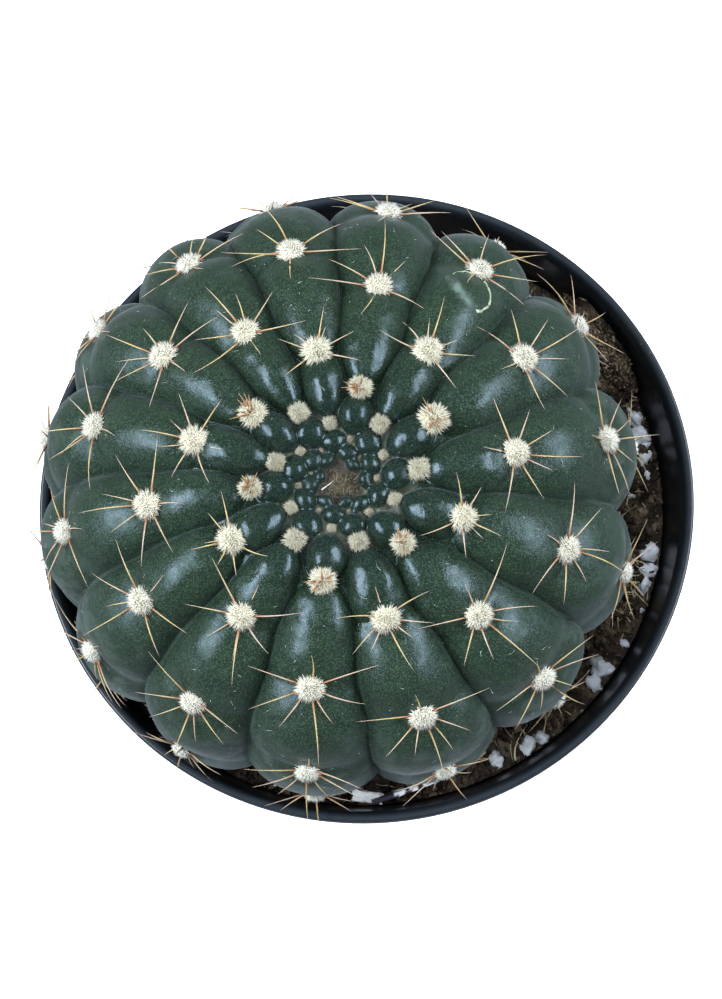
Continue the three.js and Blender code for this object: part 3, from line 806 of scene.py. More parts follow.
def stamp(bm, pattern, matrix, **values):
    """Adds a copy of a pattern mesh, placed by a matrix, with one value in each named layer."""
    before = len(bm.verts)
    copy = pattern.copy()
    copy.transform(matrix)
    bm.from_mesh(copy)
    bpy.data.meshes.remove(copy)
    bm.verts.ensure_lookup_table()
    for name, value in values.items():
        layer = bm.verts.layers.float[name]
        for vert in bm.verts[before:]:
            vert[layer] = value


def placed_matrix(place, downhill, sideways, outward, size=(1, 1, 1)):
    """From a unit form to its place: X downhill, Y sideways and Z outward."""
    turn = Matrix((downhill, sideways, outward)).transposed().to_4x4()
    return Matrix.Translation(place) @ turn @ Matrix.Diagonal((*size, 1))


def around_z(angle, z=0.0):
    """A step of unit length at an angle round the Z axis, with a share of height."""
    return Vector((math.cos(angle), math.sin(angle), z))


def scattered(draw, *spreads):
    return Vector([draw.gauss(0, spread) for spread in spreads])


def strand_pattern(cuts):
    """A straight unit strand along Z, with rings to bend it at."""
    bm = bmesh.new()
    bmesh.ops.create_cone(bm, cap_ends=True, segments=5, radius1=1, radius2=1, depth=1)
    upright = [edge for edge in bm.edges if abs(edge.verts[0].co.z - edge.verts[1].co.z) > 0.5]
    bmesh.ops.subdivide_edges(bm, edges=upright, cuts=cuts)
    bmesh.ops.translate(bm, verts=bm.verts, vec=(0, 0, 0.5))
    return mesh_from(bm, "strand_pattern")


def bowed(start, reach, bend):
    """A path from a start, bending more towards its end."""
    return lambda t: start + reach * t + bend * (t * t)


def smooth_path(points):
    """A path that runs smoothly through points, as a Catmull-Rom curve."""
    points = [Vector(point) for point in points]
    points = [2 * points[0] - points[1], *points, 2 * points[-1] - points[-2]]

    def at(t):
        spot = min(t, 0.9999) * (len(points) - 3)
        i, u = int(spot), spot % 1
        a, b, c, d = points[i : i + 4]
        bent = (2 * a - 5 * b + 4 * c - d) * u**2 + (3 * b - a - 3 * c + d) * u**3
        return 0.5 * (2 * b + (c - a) * u + bent)

    return at


def add_strand(bm, pattern, path, thickness, swollen=0.0, grown=1.0, **values):
    """A round strand along a path, thinner to its tip. Its colours run on by how grown it is."""
    before = len(bm.verts)
    bm.from_mesh(pattern)
    bm.verts.ensure_lookup_table()
    rings = {}
    layers = [(bm.verts.layers.float[name], value) for name, value in values.items()]
    along = bm.verts.layers.float.get("along")
    for vert in bm.verts[before:]:
        x, y, t = vert.co
        if round(t, 3) not in rings:
            ahead = (path(min(t + 0.01, 1)) - path(max(t - 0.01, 0))).normalized()
            side = ahead.orthogonal().normalized()
            root = 1 + swollen * math.exp(-SWELLING_FADE * t)
            radius = thickness * (1 - STRAND_TAPER * t**TAPER_CURVE) * root
            rings[round(t, 3)] = (path(t), side * radius, ahead.cross(side) * radius)
        centre, side, other = rings[round(t, 3)]
        vert.co = centre + side * x + other * y
        if along:
            vert[along] = t * grown
        for layer, value in layers:
            vert[layer] = value


# ---- Forms shared by pot, soil and plant ----


def oval_share(z):
    return 1 - (1 - RIM_SHORT_DIAMETER / RIM_DIAMETER) * (z / POT_HEIGHT)


def squeezed(x, y, z):
    """A point of a round pot, moved to where the oval one has it."""
    turn = math.radians(RIM_LONG_AXIS)
    along = x * math.cos(turn) + y * math.sin(turn)
    across = (y * math.cos(turn) - x * math.sin(turn)) * oval_share(z)
    return (
        along * math.cos(turn) - across * math.sin(turn),
        along * math.sin(turn) + across * math.cos(turn),
        z,
    )


def round_distance(x, y, z):
    """Distance from the pot's axis that a point would have if the pot were round."""
    turn = math.radians(RIM_LONG_AXIS)
    along = x * math.cos(turn) + y * math.sin(turn)
    across = (y * math.cos(turn) - x * math.sin(turn)) / oval_share(z)
    return math.hypot(along, across)


def outer_radius(z):
    top = (RIM_DIAMETER - LIP_WIDTH) / 2
    return BASE_DIAMETER / 2 + (top - BASE_DIAMETER / 2) * z / POT_HEIGHT


def inner_radius(z):
    return outer_radius(z) - WALL


def soil_height(x, y):
    turn = math.radians(MOUND_DIRECTION)
    away = math.hypot(x - MOUND_RADIUS * math.cos(turn), y - MOUND_RADIUS * math.sin(turn))
    mound = MOUND_HEIGHT * math.exp(-((away / MOUND_SPREAD) ** 2))
    return SOIL_LEVEL + SOIL_SLOPE * x + mound


def rough_soil_height(x, y):
    """The soil's height with its crumbs and hollows."""
    here = Vector((x, y, 0))
    lumps = noise.fractal(here * LUMPS[0], 0.9, 2.1, 5)
    crumbs = abs(noise.fractal(here * HOLLOWS[0] + Vector((40, 7, 3)), 0.7, 2.2, 4))
    return soil_height(x, y) + LUMPS[1] * lumps + HOLLOWS[1] * crumbs - MEAN_ROUGHNESS


def label_matrix():
    place = Matrix.Translation(LABEL_TOP)
    turn = Matrix.Rotation(math.radians(LABEL_TURN), 4, "Z")
    return place @ turn @ Matrix.Rotation(math.radians(LABEL_LEAN), 4, "X")


def kept_in_pot(point):
    """The point, drawn in where it would touch the pot's wall."""
    limit = (inner_radius(point.z) - GAP) / max(round_distance(*point), 1)
    return Vector((point.x * min(limit, 1), point.y * min(limit, 1), point.z))


def keep_in_pot(bm):
    for vert in bm.verts:
        vert.co = kept_in_pot(vert.co)


# ---- Plant form ----


def trace_crest():
    """Crest length, radius, level and outward direction along the crest, from the crown down."""
    angle = np.linspace(0, math.pi, CREST_STEPS + 1)
    radius = CREST_RADIUS * np.sin(angle).clip(0) ** (2 / CREST_FULLNESS)
    share = np.sign(np.cos(angle)) * np.abs(np.cos(angle)) ** (2 / CREST_FULLNESS)
    dimple = CROWN_DIMPLE_DEPTH * np.exp(-((radius / CROWN_DIMPLE_RADIUS) ** 2)) * (share > 0)
    level = WIDEST_LEVEL + share * np.where(share > 0, CREST_RISE, CREST_DROP) - dimple
    steps = np.hypot(np.diff(radius), np.diff(level))
    arc = np.concatenate(([0], np.cumsum(steps)))
    slope_out = np.gradient(radius, arc)
    slope_up = np.gradient(level, arc)
    length = np.hypot(slope_out, slope_up)
    return arc, radius, level, -slope_up / length, slope_out / length


CREST = trace_crest()
RIB_END = float(CREST[0][CREST[2] >= LOWEST_RIB_LEVEL][-1])


def crest_at(arc):
    """Radius, level and the outward direction's two shares at a crest length."""
    return [np.interp(arc, CREST[0], values) for values in CREST[1:]]


def areole_arc(whorl, rib):
    arc = YOUNG_ARC * math.exp(YOUNG_GROWTH * min(whorl, 4)) + GROWN_STEP * max(0, whorl - 4)
    return arc * (1 + SUNNY_STRETCH * math.cos(math.radians(RIB_DIRECTIONS[rib] - SUNNY_SIDE)))


def whorls_on_rib(rib, first=YOUNGEST_WHORL):
    """The whorls that have an areole on a rib, one in five, with one past the rib's end."""
    whorls = []
    whorl = first
    while not whorls or areole_arc(whorls[-1], rib) < RIB_END:
        if (1 + 2 * whorl - rib) % 5 == 0:
            whorls.append(whorl)
        whorl += 1
    return whorls


def wool_radius(arc):
    return 0.5 * np.interp(arc, WOOL_ARCS, WOOL_WIDTHS)


def blended(*values):
    """A smooth largest value."""
    return sum(np.maximum(value, 0) ** KNOB_BLEND for value in values) ** (1 / KNOB_BLEND)


def knob_half_width(arc):
    return KNOB_HALF_WIDTH * np.maximum(1 - np.exp((KNOB_START - arc) / KNOB_REACH), 0)


def crest_height(arc):
    """Height of the crest over the bed that the ribs stand on."""
    rib_height = np.interp(arc, RIB_HEIGHT_ARCS, RIB_HEIGHTS)
    return blended(KNOB_HEIGHT * knob_half_width(arc), rib_height)


def notch_share(arc):
    """How far the rib closes in at an areole: all of it at the crown, little low down."""
    young = 1 / (1 + (np.maximum(arc - NOTCH_START, 0) / NOTCH_REACH) ** NOTCH_CURVE)
    return NOTCH_GROWN + (1 - NOTCH_GROWN) * young


def swelling_table():
    """How far each rib has closed in, at even steps of crest length."""
    arcs = np.arange(0, RIB_END + 1, 1 / SWELLINGS_PER_MM)
    rows = []
    for rib in range(RIBS):
        whorls = whorls_on_rib(rib, FIRST_SWELLING_WHORL)
        knots = np.array([areole_arc(whorl, rib) for whorl in whorls])
        room = wool_radius(knots) * np.exp(-((knots / WOOL_ROOM_REACH) ** 4))
        after = np.searchsorted(knots, arcs).clip(1, len(knots) - 1)
        inner = knots[after - 1] + WOOL_ROOM[0] * room[after - 1]
        outer = knots[after] - WOOL_ROOM[1] * room[after]
        reach = np.abs(arcs - (inner + outer) / 2) / ((outer - inner) / 2)
        share = notch_share(np.where(arcs < (inner + outer) / 2, knots[after - 1], knots[after]))
        rows.append((share * reach**NOTCH_CURVE).clip(0, 1))
    return np.array(rows)


SWELLINGS = swelling_table()
# Angle from each rib to the one before it and the one after it, in radians
RIB_GAPS = np.radians(
    [
        (
            (RIB_DIRECTIONS[rib - 1] - RIB_DIRECTIONS[rib]) % 360,
            (RIB_DIRECTIONS[rib] - RIB_DIRECTIONS[(rib + 1) % RIBS]) % 360,
        )
        for rib in range(RIBS)
    ]
)


def closed_in(rib, arc):
    column = np.clip(arc * SWELLINGS_PER_MM, 0, SWELLINGS.shape[1] - 2)
    whole = column.astype(int)
    part = column - whole
    return SWELLINGS[rib, whole] * (1 - part) + SWELLINGS[rib, whole + 1] * part


def direction_at(place, arc):
    """Direction in radians of a place round the plant, counted in ribs clockwise."""
    turned = (*RIB_DIRECTIONS, RIB_DIRECTIONS[0] - 360)
    direction = np.interp(np.mod(place, RIBS), np.arange(RIBS + 1), turned)
    return np.radians(direction + RIB_TWIST * (arc - DIRECTIONS_ARC))


def lean_at(arc):
    share = np.clip(np.asarray(arc) / CROWN_LEAN_REACH, 0, 1)
    share = 1 - share * share * (3 - 2 * share)
    return PLANT_X + CROWN_LEAN[0] * share, PLANT_Y + CROWN_LEAN[1] * share


def skin_points(arc, place):
    """Points of the skin, with how near each is to its furrow and how sunk, from 0 to 1."""
    radius, level, out, up = crest_at(arc)
    angle = direction_at(place, arc)
    centre_x, centre_y = lean_at(arc)
    nearest = np.floor(place + 0.5)
    even = EVEN_SHARE * np.clip((arc - EVEN_START) / EVEN_REACH, 0, 1)
    power = np.interp(arc, SECTION_ARCS, SECTION_POWERS)
    total = np.zeros(len(arc))
    for step in range(-2, 3):
        rib = np.mod(nearest + step, RIBS).astype(int)
        turn = np.mod(angle - direction_at(rib, arc) + math.pi, 2 * math.pi) - math.pi
        gap = RIB_GAPS[rib, (turn < 0).astype(int)]
        half = blended(knob_half_width(arc), RIB_HALF_WIDTH * radius * gap / 2) + 1e-6
        across = (radius * np.sin(turn) / half) ** 2
        along = arc * (1 - (1 - np.cos(turn)) * np.exp(-((arc / FLAT_CROWN_REACH) ** 2)))
        notch = closed_in(rib, along)
        share = (1 - across - notch * (1 - even * across)).clip(0)
        total += (crest_height(along) * share**power) ** FURROW_SHARPNESS
    height = crest_height(arc)
    depth = height - total ** (1 / FURROW_SHARPNESS)
    points = np.stack(
        (
            centre_x + (radius - out * depth) * np.cos(angle),
            centre_y + (radius - out * depth) * np.sin(angle),
            level - up * depth,
        ),
        axis=-1,
    )
    swell = [
        sum(share * noise.noise(Vector(point) * scale) for scale, share in UNEVENNESS_SCALES)
        for point in points
    ]
    points *= 1 + SKIN_UNEVENNESS * np.array(swell)[:, None]
    return points, 2 * np.abs(place - nearest), depth / height


def crest_frame(arc, rib):
    """Downhill, sideways and outward directions at a crest length of a rib."""
    _, _, out, up = (float(value) for value in crest_at(arc))
    angle = float(direction_at(rib, arc))
    away = Vector((math.cos(angle), math.sin(angle), 0))
    outward = away * out + Vector((0, 0, up))
    downhill = away * up - Vector((0, 0, out))
    return downhill, outward.cross(downhill), outward


def crest_point(arc, rib):
    radius, level, _, _ = (float(value) for value in crest_at(arc))
    angle = float(direction_at(rib, arc))
    x, y = lean_at(arc)
    return Vector((x + radius * math.cos(angle), y + radius * math.sin(angle), level))


def areoles():
    """Every areole: its rib, whorl, crest length and place on the skin."""
    found = []
    for rib in range(RIBS):
        for whorl in whorls_on_rib(rib):
            arc = areole_arc(whorl, rib)
            if arc < RIB_END - BARE_END:
                sunk = skin_points(np.array([arc]), np.array([float(rib)]))[2]
                depth = min(float(sunk[0] * crest_height(arc)), AREOLE_SINK)
                place = crest_point(arc, rib) - crest_frame(arc, rib)[2] * depth
                found.append({"rib": rib, "whorl": whorl, "arc": arc, "place": place})
    return found


def is_blocked(point, clearance):
    """Whether a point lies in, or nearer than a clearance to, the pot's wall or the soil."""
    if point.z > POT_HEIGHT + clearance:
        return False
    distance = round_distance(*point)
    in_wall = inner_radius(point.z) - clearance < distance < RIM_DIAMETER / 2 + clearance
    return in_wall or point.z < soil_height(point.x, point.y) + CRUMB_HEIGHT + clearance


# ---- Builders ----


def skin_spot(arc, place, lift=0.0):
    """A point of the skin, lifted off it."""
    points, _, _ = skin_points(np.array([arc]), np.array([place]))
    return Vector(points[0]) + crest_frame(arc, place)[2] * lift


def dull_patch(arc, place):
    """How far each point belongs to the dull band inside the scar."""
    nearest = np.full(len(arc), 1e3)
    for (arc_a, place_a), (arc_b, place_b) in zip(DULL_BAND, DULL_BAND[1:]):
        for share in np.linspace(0, 1, 6):
            aside = place - (place_a + (place_b - place_a) * share)
            along = arc - (arc_a + (arc_b - arc_a) * share)
            across = aside * 2 * math.pi * crest_at(arc)[0] / RIBS
            nearest = np.minimum(nearest, np.hypot(along, across))
    return np.exp(-((nearest / DULL_REACH) ** 4))


def furrow_spacing(place):
    """Moves evenly spaced places round the plant closer together towards the furrows."""
    rib = np.floor(place + 0.5)
    offset = 2 * (place - rib)
    return rib + 0.5 * (0.8 * np.sin(offset * math.pi / 2) + 0.2 * offset)


def build_plant_body():
    """The ribbed skin over its foot, with the knobs of the crown."""
    crown = np.arange(0, CROWN_REACH, CROWN_STEP)
    ribs = np.linspace(CROWN_REACH, RIB_END, RIB_RINGS)
    foot = RIB_END + np.array(FOOT_RINGS)
    bm = spun_disc([*crown, *ribs, *foot], POINTS_PER_RIB * RIBS)
    distance, angle = disc_places(bm)
    place = furrow_spacing(np.mod(-angle * RIBS / (2 * math.pi), RIBS))
    points, furrow, sunk = skin_points(np.minimum(distance, RIB_END), place)
    past = (distance - RIB_END).clip(0)
    inward = (past / FOOT_RINGS[2]).clip(0, 1) ** 0.8
    centre = np.array((PLANT_X, PLANT_Y))
    away = points[:, :2] - centre
    length = np.linalg.norm(away, axis=1)[:, None].clip(1e-6)
    foot_points = centre + away / length * (FOOT_RADIUS - FOOT_INSET)
    points[:, :2] += (foot_points - points[:, :2]) * inward[:, None]
    points[:, 2] -= past * (points[:, 2] - FOOT_BOTTOM) / FOOT_RINGS[-1]
    set_points(bm, points)
    set_layer(bm, "age", (distance / RIB_END).clip(0, 1))
    set_layer(bm, "furrow", furrow)
    set_layer(bm, "hollow", sunk)
    set_layer(bm, "scar", dull_patch(distance, place))
    rim = [edge for edge in bm.edges if edge.is_boundary]
    bmesh.ops.contextual_create(bm, geom=rim)
    return turned_out(bm)


def hair_pattern():
    """A unit hair along Z, three-sided and pointed."""
    bm = bmesh.new()
    bmesh.ops.create_cone(bm, cap_ends=True, segments=3, radius1=1, radius2=0, depth=1)
    bmesh.ops.translate(bm, verts=bm.verts, vec=(0, 0, 0.5))
    set_layer(bm, "tip", [vert.co.z for vert in bm.verts])
    return mesh_from(bm, "hair_pattern")


def tuft_pattern(seed, hairs, squareness):
    """A tuft of wool of unit radius: hairs that stand out all over a small rough cushion."""
    draw = random.Random(seed)
    bm = bmesh.new()
    bmesh.ops.create_icosphere(bm, subdivisions=2, radius=1)
    for vert in bm.verts:
        vert.co *= TUFT_CORE * (1 + 0.2 * noise.noise(vert.co * 3 + Vector((seed, 0, 0))))
        vert.co.z *= CORE_FLATNESS
    # The core lies at the hairs' roots, so it takes most of their painted shade.
    set_layer(bm, "tip", [0.2] * len(bm.verts))
    hair = hair_pattern()
    for _ in range(hairs):
        around = draw.uniform(0, 2 * math.pi)
        rise = math.asin(draw.uniform(-0.1, 1.0))
        reach = 1 / max(abs(math.cos(around)), abs(math.sin(around))) ** squareness
        level = math.cos(rise)
        out = Vector((math.cos(around) * level, math.sin(around) * level, math.sin(rise)))
        root = Vector((out.x * reach, out.y * reach, out.z * 0.7)) * HAIR_ROOT
        turn = Vector((0, 0, 1)).rotation_difference(out + scattered(draw, 0.3, 0.3, 0.3))
        length = draw.uniform(*HAIR_LENGTHS) * (1 - 0.2 * math.sin(max(rise, 0)))
        size = Matrix.Diagonal((HAIR_RADIUS, HAIR_RADIUS, length, 1))
        stamp(bm, hair, Matrix.Translation(root) @ turn.to_matrix().to_4x4() @ size)
    drop(hair)
    return mesh_from(bm, "tuft_pattern")


def build_wool(look):
    """The tufts of wool on the areoles."""
    draw = random.Random(look.seed)
    old = [tuft_pattern(seed, look.hairs, 0) for seed in range(TUFTS)]
    seeds = range(TUFTS, TUFTS + YOUNG_TUFTS)
    young = [tuft_pattern(seed, look.hairs, YOUNG_SQUARENESS) for seed in seeds]
    bm = new_bmesh("age", "felt", "tip")
    for areole in areoles():
        arc = areole["arc"]
        is_young = areole["whorl"] < FIRST_SPINY_WHORL
        pattern = draw.choice(young if is_young else old)
        size = wool_radius(arc) * draw.uniform(0.95, 1.08)
        downhill, sideways, outward = crest_frame(arc, areole["rib"])
        turn = Matrix.Rotation(0 if is_young else draw.uniform(0, 6), 4, "Z")
        place = areole["place"] + outward * (YOUNG_WOOL_LIFT if is_young else WOOL_LIFT)
        height = size * (PRESSED_TUFT if is_blocked(place + outward * size, 0.3) else 1)
        matrix = placed_matrix(place, downhill, sideways, outward, (size, size, height))
        felt = max(0, YOUNG_FELTING - FELTING_STEP * (areole["whorl"] - YOUNGEST_WHORL))
        stamp(bm, pattern, matrix @ turn, age=arc / RIB_END, felt=felt)
    drop(*old, *young)
    return bm


def build_felt(look):
    """Matted felt in the centre of the crown and between its youngest knobs."""
    draw = random.Random(look.seed + 3)
    pattern = strand_pattern(2)
    bm = new_bmesh("age", "felt", "tip")
    bmesh.ops.create_icosphere(bm, subdivisions=4, radius=1)
    centre = crest_point(0, 0) - Vector((0, 0, FELT_SINK))
    core = FELT_RADIUS * 0.8
    for vert in bm.verts:
        x, y, z = vert.co
        lump = 1 + 0.18 * noise.noise(vert.co * 5)
        vert.co = centre + Vector((core * x, core * y, FELT_HEIGHT * z)) * lump
        vert[bm.verts.layers.float["felt"]] = 1
        vert[bm.verts.layers.float["tip"]] = 1
    for _ in range(FELT_STRANDS):
        away = FELT_RADIUS * 1.1 * math.sqrt(draw.random())
        around = draw.uniform(0, 2 * math.pi)
        x, y = away * math.cos(around), away * math.sin(around)
        bed = centre + Vector((x, y, draw.uniform(0.2, 0.7)))
        flat = around_z(draw.uniform(0, 2 * math.pi), draw.uniform(-0.1, 0.3)).normalized()
        bend = scattered(draw, 0.4, 0.4, 0.15)
        length = draw.uniform(*FELT_LENGTHS)
        path = bowed(bed, flat * length, bend * length)
        felt = 1 - 0.9 * draw.random() ** 5
        add_strand(bm, pattern, path, FELT_STRAND_RADIUS, age=0, felt=felt, tip=1)
    drop(pattern)
    return turned_out(bm)


def build_splinter():
    pattern = strand_pattern(2)
    bm = bmesh.new()
    top = crest_point(0, 0)
    start, end = (top + Vector(point) for point in SPLINTER)
    add_strand(bm, pattern, bowed(start, end - start, Vector((0, 0, 0.1))), SPLINTER_RADIUS)
    drop(pattern)
    return turned_out(bm)


def build_scar():
    """The scar's corky ridge, in a curve on the skin."""
    draw = random.Random(SCAR_SEED)
    pattern = strand_pattern(26)
    spacing = 2 * math.pi * float(crest_at(SCAR_ARC)[0]) / RIBS

    def ridge(t):
        turn = math.radians(SCAR_SPAN[1] + (SCAR_SPAN[0] - SCAR_SPAN[1]) * t)
        radius = SCAR_RADIUS[1] + (SCAR_RADIUS[0] - SCAR_RADIUS[1]) * t
        arc = SCAR_ARC + radius * math.cos(turn)
        return skin_spot(arc, SCAR_RIB + radius * math.sin(turn) / spacing, SCAR_LIFT)

    bm = bmesh.new()
    add_strand(bm, pattern, ridge, SCAR_THICKNESS)
    for vert in bm.verts:
        vert.co += scattered(draw, SCAR_ROUGHNESS, SCAR_ROUGHNESS, SCAR_ROUGHNESS)
    drop(pattern)
    return turned_out(bm)


def build_flecks(look):
    """Tiny pale curls of hair and dust caught on the skin."""
    draw = random.Random(look.seed + 4)
    pattern = strand_pattern(4)
    bm = bmesh.new()
    first, end = FLECK_ARCS[0], RIB_END + FLECK_ARCS[1]
    for _ in range(FLECKS):
        arc = first + (end - first) * draw.random() ** 0.6
        place = draw.uniform(0, RIBS)
        if abs(place - round(place)) > FLECK_BAND:
            continue
        downhill, sideways, outward = crest_frame(arc, place)
        root = skin_spot(arc, place, FLECK_LIFT)
        around = draw.uniform(0, 2 * math.pi)
        flat = downhill * math.cos(around) + sideways * math.sin(around)
        curl = flat.cross(outward) * draw.uniform(-1.2, 1.2)
        length = FLECK_LENGTHS[0] + FLECK_LENGTHS[1] * draw.random() ** 3
        path = bowed(root, flat * length, curl * length)
        add_strand(bm, pattern, path, draw.uniform(*FLECK_RADII))
    drop(pattern)
    return turned_out(bm)


def clear_spine(root, wanted, bend, length):
    """The wanted direction, turned up until the spine stands clear of pot and soil, or None."""
    for lift in range(SPINE_LIFTS):
        direction = (wanted + Vector((0, 0, LIFT_STEP * lift))).normalized()
        path = bowed(root, direction * length, bend * length)
        if not any(is_blocked(path(i / 10), SPINE_CLEARANCE) for i in range(3, 11)):
            return direction
    return None


def spread_spines(areole, full_length, draw):
    """Wanted directions, bends, lengths and tints of a grown areole's spines."""
    downhill, sideways, outward = crest_frame(areole["arc"], areole["rib"])
    grown = min(1, 0.45 + 0.14 * (areole["whorl"] - FIRST_SPREADING_WHORL + 1))
    worn = 1 - 0.25 * min(max((areole["arc"] - WORN_ARC) / WORN_REACH, 0), 1)
    size = full_length * grown * worn
    spines = []
    for around, share in RADIAL_SPINES:
        around = math.radians(around + draw.gauss(0, SPINE_SCATTER))
        rise = math.radians(SPINE_RISE + draw.gauss(0, SPINE_SCATTER))
        flat = downhill * math.cos(around) + sideways * math.sin(around)
        direction = flat * math.cos(rise) + outward * math.sin(rise)
        bend = outward * draw.gauss(-0.10, 0.08) + flat.cross(outward) * draw.gauss(0, 0.09)
        spines.append((direction, bend, size * share * draw.uniform(0.86, 1.1), draw.random()))
    aside = draw.gauss(0, 0.22)
    direction = (downhill + outward * draw.uniform(0.35, 0.8) + sideways * aside).normalized()
    bend = outward * draw.uniform(-0.32, -0.08) + sideways * draw.gauss(0, 0.09)
    spines.append((direction, bend, size * draw.uniform(0.95, 1.15), 0.1))
    return spines


def tuft_spines(areole, draw):
    """Wanted directions, bends, lengths and tints of a young areole's upright spines."""
    downhill, sideways, outward = crest_frame(areole["arc"], areole["rib"])
    spines = []
    for _ in range(YOUNG_SPINES):
        around = draw.uniform(0, 2 * math.pi)
        lean = draw.uniform(0.2, 1.3)
        flat = downhill * math.cos(around) + sideways * math.sin(around)
        direction = (outward + flat * lean).normalized()
        length = draw.uniform(*YOUNG_SPINE_LENGTHS) + 0.7 * (areole["whorl"] - FIRST_SPINY_WHORL)
        spines.append((direction, flat * draw.gauss(0, 0.1), length, 0))
    return spines


def build_spines(look):
    draw = random.Random(look.seed + 1)
    pattern = strand_pattern(5)
    bm = new_bmesh("along", "tint")
    for areole in areoles():
        if areole["whorl"] < FIRST_SPINY_WHORL:
            continue
        is_young = areole["whorl"] < FIRST_SPREADING_WHORL
        if is_young:
            spines = tuft_spines(areole, draw)
            seat, radius, grown = YOUNG_SPINE_SEAT, YOUNG_THICKNESS * SPINE_RADIUS, YOUNG_COLORING
        else:
            spines = spread_spines(areole, look.spine_length / MM, draw)
            seat, radius, grown = SPINE_SEAT, SPINE_RADIUS, 1.0
        outward = crest_frame(areole["arc"], areole["rib"])[2]
        for wanted, bend, length, tint in spines:
            flat = wanted - outward * wanted.dot(outward)
            root = areole["place"] + flat * seat[0] + outward * seat[1]
            direction = clear_spine(root, wanted, bend, length)
            if direction and direction.dot(outward) > 0.05:
                path = bowed(root, direction * length, bend * length)
                add_strand(bm, pattern, path, radius, SWOLLEN_ROOT, grown, tint=tint)
    drop(pattern)
    return turned_out(bm)


def build_pot(sides, rounding):
    """The thin tapered pot with its lip, spun from its section, then squeezed oval."""
    lip_bottom = POT_HEIGHT - LIP_HEIGHT
    lip = RIM_DIAMETER / 2
    section = (
        (BASE_DIAMETER / 2 - BASE_CHAMFER, 0),
        (outer_radius(BASE_CHAMFER), BASE_CHAMFER),
        (outer_radius(lip_bottom / 2), lip_bottom / 2),
        (outer_radius(lip_bottom), lip_bottom),
        (lip, lip_bottom + LIP_UNDERCUT),
        (lip, POT_HEIGHT),
        (lip - LIP_BAND, POT_HEIGHT),
        (inner_radius(POT_HEIGHT), POT_HEIGHT - LIP_SLOPE),
        (inner_radius(POT_HEIGHT / 2), POT_HEIGHT / 2),
        (inner_radius(FLOOR), FLOOR),
    )
    bm = bmesh.new()
    verts = add_chain(bm, [(radius, 0, z) for radius, z in section])
    bmesh.ops.bevel(
        bm,
        geom=verts[4:8],
        offset=rounding,
        offset_type="OFFSET",
        affect="VERTICES",
        segments=5,
        profile=0.5,
        material=-1,
    )
    spin_round(bm, sides)
    for level in (0, FLOOR):
        ring = [
            edge
            for edge in bm.edges
            if edge.is_boundary and all(abs(vert.co.z - level) < 1e-3 for vert in edge.verts)
        ]
        bmesh.ops.contextual_create(bm, geom=ring)
    turned_out(bm)
    # The lip's top takes the paler coat: rubbed wear with painted sheen.
    outward = [math.hypot(*vert.co[:2]) - (lip - LIP_BAND) for vert in bm.verts]
    high = [vert.co.z > lip_bottom for vert in bm.verts]
    set_layer(bm, "sheen_and_wear", [min(max(0.6 + out, 0), 1) * top for out, top in zip(outward, high)])
    set_points(bm, [squeezed(*vert.co) for vert in bm.verts])
    return bm


def drill_holes(piece):
    """Cuts the drain holes through the pot's floor."""
    bm = bmesh.new()
    reach, radius = DRAIN_CIRCLE / 2, DRAIN_DIAMETER / 2
    for i in range(DRAIN_HOLES):
        angle = 2 * math.pi * i / DRAIN_HOLES
        place = Matrix.Translation((reach * math.cos(angle), reach * math.sin(angle), 0))
        size = {"radius1": radius, "radius2": radius, "depth": 4 * FLOOR}
        bmesh.ops.create_cone(bm, cap_ends=True, segments=32, matrix=place, **size)
    bmesh.ops.scale(bm, verts=bm.verts, vec=(MM, MM, MM))
    mesh = mesh_from(bm, "drills")
    drills = bpy.data.objects.new("drills", mesh)
    bpy.context.scene.collection.objects.link(drills)
    cut = piece.modifiers.new("Drain holes", "BOOLEAN")
    cut.operation = "DIFFERENCE"
    cut.object = drills
    cut.solver = "EXACT"
    with bpy.context.temp_override(object=piece, active_object=piece):
        bpy.ops.object.modifier_apply(modifier=cut.name)
    bpy.data.objects.remove(drills)
    bpy.data.meshes.remove(mesh)


def soil_point(row, turn):
    """A point of the soil, in the row's place from the middle of its base to that of its hole."""
    levels = (FLOOR + GAP, FLOOR + GAP, POT_HEIGHT / 2, SOIL_LEVEL - SOIL_SKIRT)
    cos, sin = math.cos(turn), math.sin(turn)
    if row < len(levels):
        radius = 0 if row == 0 else inner_radius(levels[row]) - GAP
        return squeezed(radius * cos, radius * sin, levels[row])
    row -= len(levels)
    hole = FOOT_RADIUS - HOLE_INSET
    if row < SOIL_TOP_RINGS:
        reach = inner_radius(SOIL_LEVEL) - SOIL_BRINK_GAP
        edge = squeezed(reach * cos, reach * sin, SOIL_LEVEL)
        share = row / (SOIL_TOP_RINGS - 1)
        x = edge[0] + (PLANT_X + hole * cos - edge[0]) * share
        y = edge[1] + (PLANT_Y + hole * sin - edge[1]) * share
        return x, y, rough_soil_height(x, y)
    row -= SOIL_TOP_RINGS
    level = SOIL_LEVEL - SOIL_SKIRT if row == 0 else FOOT_BOTTOM
    reach = 0 if row == 2 else hole
    return PLANT_X + reach * cos, PLANT_Y + reach * sin, level


def build_soil():
    """The soil: a filled round body with a rough top and a hole for the plant's foot."""
    side_rows, hole_rows = 4, 3
    bm = spun_disc(range(side_rows + SOIL_TOP_RINGS + hole_rows), SOIL_SIDES)
    distance, angle = disc_places(bm)
    rows = np.rint(distance).astype(int)
    set_points(bm, [soil_point(row, turn) for row, turn in zip(rows, angle)])
    bmesh.ops.remove_doubles(bm, verts=bm.verts, dist=1e-4)
    turned_out(bm)
    set_layer(bm, "tint", [0.0] * len(bm.verts))
    return bm


